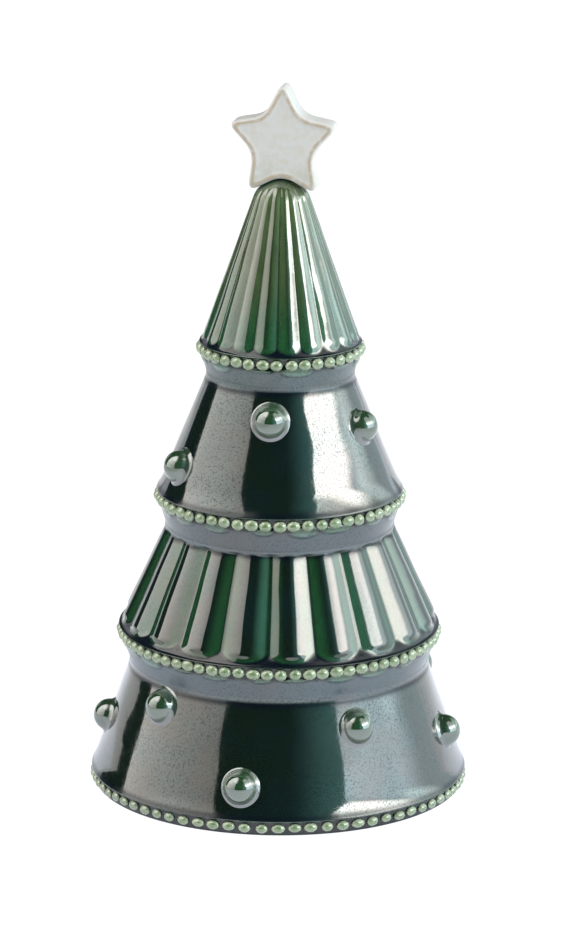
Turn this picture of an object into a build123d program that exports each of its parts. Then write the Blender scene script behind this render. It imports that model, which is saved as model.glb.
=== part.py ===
from build123d import *
import os
from math import cos, floor, pi, radians, sin

# A stoneware tree of four hollow castings stacked on one another, with a star
# on the tip, a row of beads round every rim and round studs on the plain tiers.
# Millimetres and degrees, +Z up, standing on z = 0 with the axis at the origin.
# Bearings are counted from the front (-Y) towards +X.

# Heights of the castings, each from the joint under it to the joint over it
base_height = 40.6
lower_height = 44.7
upper_height = 49.3
top_height = 64.4

# Outer radii where one casting stands on the next
base_neck_radius = 47.5
lower_neck_radius = 36.2
upper_neck_radius = 23.3

# Rims: how far each stands out over the neck below it, the height of its middle over the
# joint below, and its blunt edge; the base, with no neck below it, has a radius of its own
base_rim_radius = 60.3
base_rim_rise = 4.65
lower_rim_overhang = 4.0
lower_rim_rise = 11.45
upper_rim_overhang = 3.2
upper_rim_rise = 11.35
top_rim_overhang = 2.7
top_rim_rise = 10.25
rim_land = 0.4

# Under each rim a lip leads in to the upright band that carries the beads
base_lip_height = 0.15
base_lip_depth = 1.2
lower_lip_height = 0.15
lower_lip_depth = 1.3
upper_lip_height = 0.15
upper_lip_depth = 1.0
top_lip_height = 0.15
top_lip_depth = 0.9

# The base wall bends once, like a bell
base_bend_height = 12.35
base_bend_depth = 4.75

# The two upper rims flare out from the wall over this height and depth
upper_flare_height = 3.95
upper_flare_depth = 2.4
top_flare_height = 2.55
top_flare_depth = 1.5

# Shoulder of the top casting, under the low cone that the star sits on
shoulder_radius = 8.5
shoulder_drop = 5.4
shoulder_rounding = 1.2

# Ribs on the lower and top castings
rib_count = 20
lower_rib_depth = 2.9
lower_rib_bearing = -4.2
lower_rib_end = 6.0
lower_neck_land = 1.0
top_rib_depth = 1.6
top_rib_bearing = -2.6
top_rib_end = 5.0
rib_foot_shares = ((0.0, 0.0), (0.35, 0.7), (1.0, 1.0))
rib_head_shares = ((1.0, 1.0), (0.0, 0.0))

# Walls, and the collars that centre each casting in the mouth below it
wall = 5.0
rib_wall = 3.4
cap_thickness = 17.0
collar_length = 4.0
collar_wall = 3.0
collar_clearance = 0.25
foot_chamfer = 0.4

# Beads: one faceted bead, repeated round each band
bead_diameter = 3.8
bead_height = 1.9
bead_sides = 5
upper_bead_gap = 0.6
lower_bead_gap = 0.55
top_bead_gap = 0.55
base_bead_gap = 1.3
bead_ring_shares = ((0.0, 0.78), (0.36, 1.0), (1.0, 0.55))

# Studs: round bosses luted to the walls, as (bearing, share of the tier's height)
stud_diameter = 10.4
stud_sides = 10
stud_ring_shares = ((-0.42, 0.9), (0.0, 1.0), (0.55, 0.835), (1.0, 0.25))
upper_stud_bearings = (-66.0, -6.5, 61.5, 139.0, 211.0)
upper_stud_rise_shares = (0.44, 0.805, 0.712, 0.49, 0.753)
base_stud_bearings = (-88.5, -47.5, -12.0, 29.0, 76.0, 118.0, 158.0, 200.0, 240.0)
base_stud_rise_shares = (0.514, 0.839, 0.356, 0.765, 0.494, 0.76, 0.4, 0.7, 0.36)

# Star with its tenon: a little narrower than it is tall, turned, and set a little beside the axis
star_points = 5
star_tip_radius = 19.8
star_notch_radius = 10.3
star_width_share = 0.955
star_thickness = 8.5
star_tip_rounding = 1.5
star_notch_rounding = 5.0
star_edge_chamfer = 1.0
star_turn = -11.0
star_aside = 0.8
star_seat_depth = 0.6
tenon_diameter = 5.0
tenon_length = 9.0
tenon_clearance = 0.15

full_turn = 360.0
bead_radius = bead_diameter / 2
stud_radius = stud_diameter / 2
tenon_radius = tenon_diameter / 2

# Heights of the joints over the floor
lower_floor = base_height
upper_floor = lower_floor + lower_height
top_floor = upper_floor + upper_height
apex = top_floor + top_height

# Widest radii of the three castings that stand on another
lower_rim_radius = base_neck_radius + lower_rim_overhang
upper_rim_radius = lower_neck_radius + upper_rim_overhang
top_rim_radius = upper_neck_radius + top_rim_overhang

# Radii of the mouths that take the collars
base_mouth = base_neck_radius - wall
lower_mouth = lower_neck_radius - wall
upper_mouth = upper_neck_radius - wall


def polar(radius, bearing, height=0):
    """Point at a bearing from the front, at a radius and a height."""
    angle = radians(bearing)
    return (radius * sin(angle), -radius * cos(angle), height)


def between(low, high, height):
    """Radius at a height on the straight line from low to high, both (radius, height)."""
    share = (height - low[1]) / (high[1] - low[1])
    return low[0] + share * (high[0] - low[0])


def turned(corners):
    """Solid of revolution whose half section has corners (radius, height, rounding)."""
    points = [(radius, height) for radius, height, rounding in corners]
    roundings = [rounding for radius, height, rounding in corners]
    outline = FilletPolyline(*points, radius=roundings, close=True)
    return revolve(Plane.XZ * make_face(outline), Axis.Z)


def ring(inner_radius, outer_radius, low, high):
    """Plain ring between two heights."""
    below = [(inner_radius, low, 0), (outer_radius, low, 0)]
    above = [(outer_radius, high, 0), (inner_radius, high, 0)]
    return turned(below + above)


def rim_corners(start_radius, rim_radius, rim_rise, lip_height, lip_depth):
    """Corners from a joint out to the bead band and over the lip to the blunt rim."""
    band_radius = rim_radius - lip_depth
    rim_bottom = rim_rise - rim_land / 2
    band_top = rim_bottom - lip_height
    return [
        (start_radius, 0, 0),
        (band_radius, band_top - bead_diameter, 0),
        (band_radius, band_top, 0),
        (rim_radius, rim_bottom, 0),
        (rim_radius, rim_bottom + rim_land, 0),
    ]


def collar(mouth_radius):
    """Collar that hangs under a casting, in the mouth of the casting below it."""
    outer = mouth_radius - collar_clearance
    return ring(outer - collar_wall, outer, -collar_length, wall)


def throat_corners(mouth_radius):
    """Lower corners of a hollow: up through the collar to the floor of the casting."""
    throat = mouth_radius - collar_clearance - collar_wall
    return [(0, -collar_length, 0), (throat, -collar_length, 0), (throat, wall, 0)]


def rib_section(ridge_radius, depth, height, bearing):
    """Flat section of convex ribs: arcs that meet in grooves, the first at the bearing."""
    pitch = full_turn / rib_count
    groove_radius = ridge_radius - depth
    arcs = []
    for rib in range(rib_count):
        start = bearing + rib * pitch
        crown = polar(ridge_radius, start + pitch / 2)
        arcs.append(ThreePointArc(polar(groove_radius, start), crown, polar(groove_radius, start + pitch)))
    return Pos(Z=height) * make_face(arcs)


def ribbed_wall(low, high, depth, end_length, bearing):
    """Ribs between two (radius, height) ends: they deepen, taper with the wall and die out."""
    sections = []
    for reach_share, depth_share in rib_foot_shares:
        height = low[1] + reach_share * end_length
        ridge = between(low, high, height)
        sections.append(rib_section(ridge, depth_share * depth * ridge / low[0], height, bearing))
    for reach_share, depth_share in rib_head_shares:
        height = high[1] - reach_share * end_length * high[0] / low[0]
        ridge = between(low, high, height)
        sections.append(rib_section(ridge, depth_share * depth * ridge / low[0], height, bearing))
    return loft(sections, ruled=True)


def base_outline():
    """Outer corners of the base, from its dry foot up the bell-shaped wall to the mouth."""
    band_radius = base_rim_radius - base_lip_depth
    rim_bottom = base_rim_rise - rim_land / 2
    return [
        (band_radius - foot_chamfer, 0, 0),
        (band_radius, foot_chamfer, 0),
        (band_radius, rim_bottom - base_lip_height, 0),
        (base_rim_radius, rim_bottom, 0),
        (base_rim_radius, rim_bottom + rim_land, 0),
        (base_rim_radius - base_bend_depth, base_rim_rise + base_bend_height, 0),
        (base_neck_radius, base_height, 0),
    ]


def base_block():
    """The base without its hollow."""
    return turned([(0, 0, 0)] + base_outline() + [(0, base_height, 0)])


def base_tier():
    """Bottom casting: open underneath, with a flat dry foot and a flat seat round its mouth."""
    foot_radius = base_rim_radius - base_lip_depth - wall
    inside = [
        (base_mouth, base_height, 0),
        (base_rim_radius - base_bend_depth - wall, base_rim_rise + base_bend_height, 0),
        (foot_radius, base_rim_rise, 0),
        (foot_radius, 0, 0),
    ]
    return turned(base_outline() + inside)


def lower_tier():
    """Second casting: ribbed, standing on the base."""
    rib_foot = (lower_rim_radius, lower_rim_rise + rim_land / 2)
    neck = (lower_neck_radius, lower_height - lower_neck_land)
    corners = rim_corners(
        base_neck_radius, lower_rim_radius, lower_rim_rise, lower_lip_height, lower_lip_depth)
    foot = turned([(0, 0, 0)] + corners + [(0, rib_foot[1], 0)])
    ribs = ribbed_wall(rib_foot, neck, lower_rib_depth, lower_rib_end, lower_rib_bearing)
    land = ring(0, lower_neck_radius, neck[1], lower_height)
    hollow = turned(throat_corners(base_mouth) + [
        (lower_rim_radius - lower_lip_depth - wall, lower_rim_rise, 0),
        (lower_rim_radius - lower_rib_depth - rib_wall, lower_rim_rise + lower_rib_end, 0),
        (lower_mouth, neck[1], 0),
        (lower_mouth, lower_height, 0),
        (0, lower_height, 0),
    ])
    return foot + ribs + land + collar(base_mouth) - hollow


def upper_outline():
    """Outer corners of the third casting: beaded rim, flared lip and straight cone."""
    corners = rim_corners(
        lower_neck_radius, upper_rim_radius, upper_rim_rise, upper_lip_height, upper_lip_depth)
    flare_top = (upper_rim_radius - upper_flare_depth, upper_rim_rise + upper_flare_height, 0)
    return corners + [flare_top, (upper_neck_radius, upper_height, 0)]


def upper_block():
    """The third casting without its collar and hollow."""
    return turned([(0, 0, 0)] + upper_outline() + [(0, upper_height, 0)])


def upper_tier():
    """Third casting: plain cone with a flared rim."""
    hollow = turned(throat_corners(lower_mouth) + [
        (upper_rim_radius - upper_lip_depth - wall, upper_rim_rise, 0),
        (upper_rim_radius - upper_flare_depth - wall, upper_rim_rise + upper_flare_height, 0),
        (upper_mouth, upper_height, 0),
        (0, upper_height, 0),
    ])
    return upper_block() + collar(lower_mouth) - hollow


def top_block():
    """The top casting without its collar, hollow and socket: ribbed cone under a low cap."""
    flare_top = (top_rim_radius - top_flare_depth, top_rim_rise + top_flare_height)
    shoulder_rise = top_height - shoulder_drop
    shoulder = (shoulder_radius, shoulder_rise - shoulder_rounding)
    corners = rim_corners(
        upper_neck_radius, top_rim_radius, top_rim_rise, top_lip_height, top_lip_depth)
    foot = turned([(0, 0, 0)] + corners + [(*flare_top, 0), (0, flare_top[1], 0)])
    ribs = ribbed_wall(flare_top, shoulder, top_rib_depth, top_rib_end, top_rib_bearing)
    shoulder_corner = (between(flare_top, shoulder, shoulder_rise), shoulder_rise, shoulder_rounding)
    cap = turned([(0, shoulder[1], 0), (*shoulder, 0), shoulder_corner, (0, top_height, 0)])
    return foot + ribs + cap


def top_tier():
    """Top casting: ribbed cone with a solid tip, bored for the star's tenon."""
    flare_radius = top_rim_radius - top_flare_depth - top_rib_depth - rib_wall
    flare_rise = top_rim_rise + top_flare_height
    cone_end = (shoulder_radius - top_rib_depth - rib_wall, top_height - shoulder_drop)
    hollow_top = top_height - cap_thickness
    hollow = turned(throat_corners(upper_mouth) + [
        (flare_radius, flare_rise, 0),
        (between((flare_radius, flare_rise), cone_end, hollow_top), hollow_top, 0),
        (0, hollow_top, 0),
    ])
    socket_bottom = top_height - tenon_length - tenon_clearance
    socket = ring(0, tenon_radius + tenon_clearance, socket_bottom, top_height)
    return top_block() + collar(upper_mouth) - hollow - socket


def star():
    """Thick five-pointed star, hollowed to sit on the cap, with its tenon under it."""
    pitch = full_turn / (2 * star_points)
    corners = []
    roundings = []
    for corner in range(2 * star_points):
        is_tip = corner % 2 == 0
        angle = radians(corner * pitch)
        reach = star_tip_radius if is_tip else star_notch_radius
        corners.append((star_width_share * reach * sin(angle), reach * cos(angle)))
        roundings.append(star_tip_rounding if is_tip else star_notch_rounding)
    outline = FilletPolyline(*corners, radius=roundings, close=True)
    slab = extrude(Plane.XZ * make_face(outline), amount=star_thickness / 2, both=True)
    edges = slab.faces().sort_by(Axis.Y)[0].edges() + slab.faces().sort_by(Axis.Y)[-1].edges()
    slab = chamfer(edges, star_edge_chamfer)
    centre = apex + star_notch_radius - star_seat_depth
    seated = Pos(X=star_aside, Z=centre) * Rot(Z=star_turn) * slab - Pos(Z=top_floor) * top_block()
    tenon = ring(0, tenon_radius, apex - tenon_length, centre)
    return seated + tenon


def faceted_dome(rings, sides):
    """Closed dome of flat faces through level rings of (height, radius), the first its back."""
    pitch = full_turn / sides
    loops = [[polar(radius, side * pitch, height) for side in range(sides)] for height, radius in rings]
    faces = [Face(Wire.make_polygon(loops[0])), Face(Wire.make_polygon(loops[-1]))]
    for lower, upper in zip(loops, loops[1:]):
        for side in range(sides):
            after = (side + 1) % sides
            faces.append(Face(Wire.make_polygon((lower[side], lower[after], upper[after], upper[side]))))
    return Solid(Shell(faces))


def bead():
    """One bead on its flat back, pointing up: it swells and closes in."""
    rings = [(bead_height * rise, bead_radius * reach) for rise, reach in bead_ring_shares]
    return faceted_dome(rings, bead_sides)


def bead_row(floor_height, rim_radius, rim_rise, lip_height, lip_depth, gap, bearing):
    """Beads round a band, as many as fit with the gap, the first at the bearing."""
    band_radius = rim_radius - lip_depth
    height = floor_height + rim_rise - rim_land / 2 - lip_height - bead_radius
    count = floor(2 * pi * band_radius / (bead_diameter + gap))
    pattern = bead()
    beads = []
    for place in range(count):
        turn = bearing + place * full_turn / count
        seat = Plane(
            origin=polar(band_radius, turn, height),
            x_dir=polar(1, turn + full_turn / 4),
            z_dir=polar(1, turn),
        )
        beads.append(seat * pattern)
    return Compound(children=beads)


def stud(block, floor_height, low, high, bearing, rise):
    """Round boss whose back is cut to the wall between low and high, at a rise on it."""
    rings = [(stud_radius * rise, stud_radius * reach) for rise, reach in stud_ring_shares]
    run = low[0] - high[0]
    climb = high[1] - low[1]
    outward = polar(climb, bearing, run)
    seat = Plane(
        origin=polar(between(low, high, rise), bearing, rise),
        x_dir=polar(1, bearing + full_turn / 4),
        z_dir=outward,
    )
    return Pos(Z=floor_height) * (seat * faceted_dome(rings, stud_sides) - block)


def upper_studs():
    """The studs of the third casting, by name."""
    block = upper_block()
    low = (upper_rim_radius - upper_flare_depth, upper_rim_rise + upper_flare_height)
    high = (upper_neck_radius, upper_height)
    studs = {}
    places = zip(upper_stud_bearings, upper_stud_rise_shares)
    for number, (bearing, rise_share) in enumerate(places, start=1):
        rise = rise_share * upper_height
        studs[f"upper_stud_{number}"] = stud(block, upper_floor, low, high, bearing, rise)
    return studs


def base_studs():
    """The studs of the base, by name."""
    block = base_block()
    bend = (base_rim_radius - base_bend_depth, base_rim_rise + base_bend_height)
    studs = {}
    places = zip(base_stud_bearings, base_stud_rise_shares)
    for number, (bearing, rise_share) in enumerate(places, start=1):
        rise = rise_share * base_height
        low, high = bend, (base_neck_radius, base_height)
        if rise < bend[1]:
            low, high = (base_rim_radius, base_rim_rise), bend
        studs[f"base_stud_{number}"] = stud(block, 0, low, high, bearing, rise)
    return studs


def bead_rows():
    """The four rows of beads, by name."""
    return {
        "base_beads": bead_row(
            0, base_rim_radius, base_rim_rise, base_lip_height, base_lip_depth, base_bead_gap, 0),
        "lower_beads": bead_row(
            lower_floor, lower_rim_radius, lower_rim_rise, lower_lip_height, lower_lip_depth,
            lower_bead_gap, lower_rib_bearing),
        "upper_beads": bead_row(
            upper_floor, upper_rim_radius, upper_rim_rise, upper_lip_height, upper_lip_depth,
            upper_bead_gap, 0),
        "top_beads": bead_row(
            top_floor, top_rim_radius, top_rim_rise, top_lip_height, top_lip_depth,
            top_bead_gap, top_rib_bearing),
    }


def pieces():
    """Every piece of the tree in its place, by node name."""
    return {
        "base_tier": base_tier(),
        "lower_tier": Pos(Z=lower_floor) * lower_tier(),
        "upper_tier": Pos(Z=upper_floor) * upper_tier(),
        "top_tier": Pos(Z=top_floor) * top_tier(),
        "star": star(),
        **bead_rows(),
        **upper_studs(),
        **base_studs(),
    }


os.makedirs("parts", exist_ok=True)
for name, piece in pieces().items():
    export_step(piece, f"parts/{name}.step")
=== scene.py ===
"""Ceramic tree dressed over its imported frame: four glazed tiers, beads, studs, a star and a studio.

Sizes in the classes are millimetres, and bearings are degrees counted from the
front (-Y) towards +X. Every surface is a grid of points worked out with numpy.
"""
import logging
from dataclasses import dataclass
from enum import Enum
from math import atan2, cos, pi, radians, sin
from typing import ClassVar, Optional, Union

import bpy
import numpy as np
from mathutils import Matrix, Vector


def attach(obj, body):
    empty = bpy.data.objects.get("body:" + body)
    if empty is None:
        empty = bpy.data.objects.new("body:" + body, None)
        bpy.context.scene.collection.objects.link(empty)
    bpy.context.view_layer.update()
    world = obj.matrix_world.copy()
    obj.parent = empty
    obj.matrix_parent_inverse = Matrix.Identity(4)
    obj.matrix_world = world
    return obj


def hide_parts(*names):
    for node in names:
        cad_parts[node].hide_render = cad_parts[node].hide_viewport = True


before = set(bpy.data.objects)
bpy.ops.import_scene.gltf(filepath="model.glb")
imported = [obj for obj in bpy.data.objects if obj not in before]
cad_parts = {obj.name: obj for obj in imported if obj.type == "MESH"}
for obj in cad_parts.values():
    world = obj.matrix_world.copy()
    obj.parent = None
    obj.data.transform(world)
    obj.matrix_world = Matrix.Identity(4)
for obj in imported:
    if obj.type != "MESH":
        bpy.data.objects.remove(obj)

Array = np.ndarray
Colour = tuple[float, float, float]
Corner = tuple[float, float, float]
Value = Union[float, tuple, bpy.types.NodeSocket]

MM = 0.001
FULL_TURN = 2.0 * pi
GLAZE_LAYER = "glaze"
BODY = "root"
# Share of the samples that the hidden inside of a casting attracts
INSIDE_WEIGHT = 0.22
# Millimetres of length that one radian of turning counts as
TURN_WEIGHT = 1.6
# Place given to the inside of the closed casting, past the number of any corner
HIDDEN_PLACE = 99.0
# How far from its corner's number the place of a bend reaches
BEND_PLACE = 0.1

log = logging.getLogger("tree")


class Slot(Enum):
    """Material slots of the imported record."""

    GREEN = "green_glaze"
    BEAD = "bead_glaze"
    STUD = "stud_glaze"
    STAR = "star_glaze"


class Ray(Enum):
    """Kinds of ray that see the white of the studio."""

    CAMERA = "Is Camera Ray"
    GLOSSY = "Is Glossy Ray"
    TRANSMISSION = "Is Transmission Ray"


# Surfaces


def eased(value: Array, low: float, high: float) -> Array:
    """Smooth step: 0 below low, 1 above high, 3t² - 2t³ between them.

    Args:
        value: Where to take the step.
        low: Value at which it starts.
        high: Value at which it ends.

    Returns:
        The step, between 0 and 1.
    """
    share = np.clip((value - low) / (high - low), 0.0, 1.0)
    return share * share * (3.0 - 2.0 * share)


def bump(value: Array, middle: float, width: float) -> Array:
    """Bell curve exp(-((value - middle) / width)²)."""
    return np.exp(-(((value - middle) / width) ** 2))


def turned(radius: Array, bearing: Array, height: Array) -> Array:
    """Points (r sin b, -r cos b, z): a radius and a height carried round to each bearing.

    Args:
        radius: Distances from the axis.
        bearing: Angles in radians from -Y towards +X.
        height: Heights over the floor.

    Returns:
        Points with the three coordinates on the last axis.
    """
    spread = np.broadcast_arrays(radius * np.sin(bearing), -radius * np.cos(bearing), height)
    return np.stack(spread, axis=-1)


def rounded(corners: list[Corner], closed: bool, bends: int = 11, runs: int = 30) -> Array:
    """Polyline through corners, each rounded by a quadratic Bezier.

    At a corner P with set-back s, the curve (1-t)² A + 2t(1-t) P + t² C leads from A,
    s before the corner, to C, s after it; straight runs join the bends.

    Args:
        corners: Rows of (across, up, set-back).
        closed: Whether the last corner runs on to the first.
        bends: Points in each bend.
        runs: Points in each straight run.

    Returns:
        Rows of (across, up, place), where place counts the corners passed.
    """
    table = np.asarray(corners, dtype=float)
    points = table[:, :2]
    setback = table[:, 2:].copy()
    if not closed:
        setback[[0, -1]] = 0.0
    before = np.roll(points, 1, axis=0) - points
    after = np.roll(points, -1, axis=0) - points
    start = points + setback * before / np.linalg.norm(before, axis=1, keepdims=True)
    end = points + setback * after / np.linalg.norm(after, axis=1, keepdims=True)
    t = np.linspace(0.0, 1.0, bends)[None, :, None]
    s = np.linspace(0.0, 1.0, runs + 2)[None, 1:-1, None]
    bend = (1 - t) ** 2 * start[:, None] + 2 * t * (1 - t) * points[:, None] + t**2 * end[:, None]
    run = (1 - s) * end[:, None] + s * np.roll(start, -1, axis=0)[:, None]
    number = np.arange(len(table), dtype=float)[:, None, None]
    in_bend = number - BEND_PLACE + 2 * BEND_PLACE * t
    in_run = number + BEND_PLACE + (1 - 2 * BEND_PLACE) * s
    bend = np.concatenate((bend, np.broadcast_to(in_bend, bend[..., :1].shape)), axis=2)
    run = np.concatenate((run, np.broadcast_to(in_run, run[..., :1].shape)), axis=2)
    path = np.concatenate((bend, run), axis=1).reshape(-1, 3)
    return path if closed else path[:-runs]


def resampled(path: Array, rows: int, closed: bool, weight: Array, turn_weight: float) -> Array:
    """Path sampled evenly in a measure made of its length and its turning.

    The measure grows by the length of every step and, at every point, by the angle
    turned there times turn_weight, so bends and sharp corners get points of their own.

    Args:
        path: Rows of (across, up, place).
        rows: Samples to take.
        closed: Whether the path runs on to its start.
        weight: Share of the samples that each point of the path attracts.
        turn_weight: Millimetres of length that one radian of turning counts as.

    Returns:
        Rows of (across, up, place), with no two neighbours at one place.
    """
    steps = np.linalg.norm(np.diff(path[:, :2], axis=0), axis=1)
    keep = np.concatenate(([True], steps > 1e-6))
    path, weight = path[keep], weight[keep]
    if closed:
        path = np.concatenate((path, path[:1] + (0.0, 0.0, np.ceil(path[-1, 2]))), axis=0)
        weight = np.concatenate((weight, weight[:1]))
    leg = np.diff(path[:, :2], axis=0)
    length = np.linalg.norm(leg, axis=1)
    heading = np.unwrap(np.arctan2(leg[:, 1], leg[:, 0]))
    turn = np.concatenate(([0.0], np.abs(np.diff(heading)), [0.0])) * turn_weight * weight
    grow = np.zeros(2 * len(path))
    grow[2::2] = length * 0.5 * (weight[1:] + weight[:-1])
    grow[1::2] = turn
    measure = np.cumsum(grow)
    wanted = np.linspace(0.0, measure[-1], rows, endpoint=not closed)
    twice = np.repeat(path, 2, axis=0)
    sampled = np.stack([np.interp(wanted, measure, twice[:, axis]) for axis in range(3)], axis=1)
    apart = np.linalg.norm(np.diff(sampled[:, :2], axis=0), axis=1) > 1e-4
    return sampled[np.concatenate(([True], apart))]


def grid_faces(rows: int, columns: int, wrap_rows: bool, first: bool, last: bool) -> tuple[Array, Array]:
    """Faces of a grid whose columns close round, with optional poles at its ends.

    Args:
        rows: Rows of points.
        columns: Points in each row.
        wrap_rows: Whether the last row joins the first.
        first: Whether a pole closes the first row; it is the point after the grid.
        last: Whether a pole closes the last row; it comes after the first pole.

    Returns:
        Quads and triangles as rows of point numbers.
    """
    number = np.arange(rows * columns).reshape(rows, columns)
    low = number if wrap_rows else number[:-1]
    high = np.roll(number, -1, axis=0) if wrap_rows else number[1:]
    quads = np.stack((low, np.roll(low, -1, axis=1), np.roll(high, -1, axis=1), high), axis=-1)
    fans = [np.empty((0, 3), dtype=int)]
    pole = rows * columns
    if first:
        ring = number[0]
        fans.append(np.stack((np.full(columns, pole), np.roll(ring, -1), ring), axis=-1))
        pole += 1
    if last:
        ring = number[-1]
        fans.append(np.stack((ring, np.roll(ring, -1), np.full(columns, pole)), axis=-1))
    return quads.reshape(-1, 4), np.concatenate(fans)


@dataclass
class Skin:
    """A mesh in the making: one or more like grids with their glaze values.

    Attributes:
        points: Millimetres, shaped (copies, rows, columns, 3).
        glaze: Values for the glaze layer, shaped like points.
        wrap_rows: Whether rows close as well as columns.
        first: Pole before the first row and its glaze, each shaped (copies, 3).
        last: Pole after the last row and its glaze, each shaped (copies, 3).
    """

    points: Array
    glaze: Array
    wrap_rows: bool = False
    first: Optional[tuple[Array, Array]] = None
    last: Optional[tuple[Array, Array]] = None

    def make(self, name: str, material: bpy.types.Material, sharp: float = 50.0) -> bpy.types.Object:
        """Puts the grids into one mesh object at the origin.

        Args:
            name: Name of the piece.
            material: Its finish.
            sharp: Edges that bend more than this many degrees stay crisp.

        Returns:
            The new object, linked to the scene.
        """
        copies, rows, columns, _ = self.points.shape
        points = [self.points.reshape(copies, -1, 3)]
        glaze = [self.glaze.reshape(copies, -1, 3)]
        for pole in (self.first, self.last):
            if pole is not None:
                points.append(pole[0][:, None])
                glaze.append(pole[1][:, None])
        vertices = np.concatenate(points, axis=1)
        values = np.concatenate(glaze, axis=1).reshape(-1, 3)
        quads, fans = grid_faces(rows, columns, self.wrap_rows, self.first is not None, self.last is not None)
        offset = np.arange(copies)[:, None, None] * vertices.shape[1]
        faces = (quads + offset).reshape(-1, 4).tolist() + (fans + offset).reshape(-1, 3).tolist()
        mesh = bpy.data.meshes.new(name)
        mesh.from_pydata((vertices.reshape(-1, 3) * MM).tolist(), [], faces)
        layer = mesh.attributes.new(GLAZE_LAYER, "FLOAT_COLOR", "POINT")
        layer.data.foreach_set("color", np.insert(values, 3, 1.0, axis=1).astype(np.float32).ravel())
        mesh.shade_smooth()
        mesh.set_sharp_from_angle(angle=radians(sharp))
        mesh.materials.append(material)
        piece = bpy.data.objects.new(name, mesh)
        bpy.context.scene.collection.objects.link(piece)
        return piece


def settle(piece: bpy.types.Object, node: str, slot: Slot) -> None:
    """Lets a piece stand for a CAD node and ride with the tree.

    Args:
        piece: The finished piece.
        node: Name of the node it stands for.
        slot: Not used.
    """
    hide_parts(node)
    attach(piece, BODY)
    log.info("%s: %d faces", piece.name, len(piece.data.polygons))


# Finishes


class Desk:
    """Lays out shader nodes in a tree, from left to right."""

    def __init__(self, tree: bpy.types.NodeTree) -> None:
        """Empties the tree and keeps it."""
        self.tree = tree
        tree.nodes.clear()

    def add(self, kind: str, inputs: Optional[dict] = None, **options: object) -> bpy.types.Node:
        """Adds a node.

        Args:
            kind: Its Blender type.
            inputs: Values or sockets by input name or number.
            options: Settings of the node itself.

        Returns:
            The new node.
        """
        node = self.tree.nodes.new(kind)
        for option, value in options.items():
            setattr(node, option, value)
        for key, value in (inputs or {}).items():
            self.feed(node.inputs[key], value)
        return node

    def feed(self, socket: bpy.types.NodeSocket, value: Value) -> None:
        """Links a socket to another one, or writes a plain value on it.

        Args:
            socket: Input to fill.
            value: Output to link it to, or its value; a colour may leave out its alpha.
        """
        if isinstance(value, bpy.types.NodeSocket):
            self.tree.links.new(value, socket)
        elif isinstance(value, tuple) and len(value) == 3 and socket.type == "RGBA":
            socket.default_value = (*value, 1.0)
        else:
            socket.default_value = value

    def math(self, operation: str, first: Value, second: Value = 0.0) -> bpy.types.NodeSocket:
        """Result of a math node on two values."""
        return self.add("ShaderNodeMath", {0: first, 1: second}, operation=operation).outputs[0]

    def plus(self, first: Value, second: Value) -> bpy.types.NodeSocket:
        """Sum of two values."""
        return self.math("ADD", first, second)

    def times(self, first: Value, second: Value) -> bpy.types.NodeSocket:
        """Product of two values."""
        return self.math("MULTIPLY", first, second)

    def rest(self, share: Value) -> bpy.types.NodeSocket:
        """What a share leaves of one."""
        return self.math("SUBTRACT", 1.0, share)

    def line(self, value: Value, slope: float, start: float) -> bpy.types.NodeSocket:
        """Straight line, start + slope times the value."""
        return self.plus(self.times(value, slope), start)

    def span(
        self, value: Value, ends: tuple[float, float], first: float, last: float
    ) -> bpy.types.NodeSocket:
        """Value carried evenly from its two ends to a first and a last one, and held past them."""
        inputs = {0: value, 1: ends[0], 2: ends[1], 3: first, 4: last}
        return self.add("ShaderNodeMapRange", inputs).outputs[0]

    def step(self, value: Value, low: float, high: float) -> bpy.types.NodeSocket:
        """Smooth step from 0 at low to 1 at high."""
        inputs = {0: value, 1: low, 2: high, 3: 0.0, 4: 1.0}
        return self.add("ShaderNodeMapRange", inputs, interpolation_type="SMOOTHSTEP").outputs[0]

    def edge(self, angle: Value, middle: float, width: float) -> bpy.types.NodeSocket:
        """Smooth step of an angle in radians about a middle, with a width, both in degrees."""
        return self.step(angle, radians(middle - width / 2), radians(middle + width / 2))

    def mix(self, share: Value, first: Value, second: Value) -> bpy.types.NodeSocket:
        """Colour between two others by a share.

        Args:
            share: Share of the second colour.
            first: First colour.
            second: Second colour.

        Returns:
            The mixed colour.
        """
        node = self.add("ShaderNodeMix", data_type="RGBA")
        for socket, value in zip((node.inputs[0], node.inputs[6], node.inputs[7]), (share, first, second)):
            self.feed(socket, value)
        return node.outputs[2]

    def millimetres(self, stretch: tuple = (1.0, 1.0, 1.0)) -> bpy.types.NodeSocket:
        """Object coordinates in millimetres, stretched along each axis.

        Args:
            stretch: Factor along each axis.

        Returns:
            The coordinates.
        """
        place = self.add("ShaderNodeTexCoord").outputs["Object"]
        scale = tuple(share / MM for share in stretch)
        return self.add("ShaderNodeVectorMath", {0: place, 1: scale}, operation="MULTIPLY").outputs[0]

    def noise(
        self, place: Value, scale: float, detail: float = 2.0, rough: float = 0.5
    ) -> bpy.types.NodeSocket:
        """Noise around one half, with so many features to a millimetre."""
        inputs = {"Vector": place, "Scale": scale, "Detail": detail, "Roughness": rough}
        return self.add("ShaderNodeTexNoise", inputs).outputs["Fac"]

    def layer(self) -> tuple[bpy.types.NodeSocket, bpy.types.NodeSocket, bpy.types.NodeSocket]:
        """The three values of the piece's glaze layer."""
        colour = self.add("ShaderNodeAttribute", attribute_name=GLAZE_LAYER).outputs["Color"]
        return tuple(self.add("ShaderNodeSeparateColor", {0: colour}).outputs)


def blank(name: str) -> tuple[bpy.types.Material, Desk]:
    """Starts a material.

    Args:
        name: Its name.

    Returns:
        The material, and the desk of its empty tree.
    """
    material = bpy.data.materials.new(name)
    material.use_nodes = True
    return material, Desk(material.node_tree)


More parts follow.
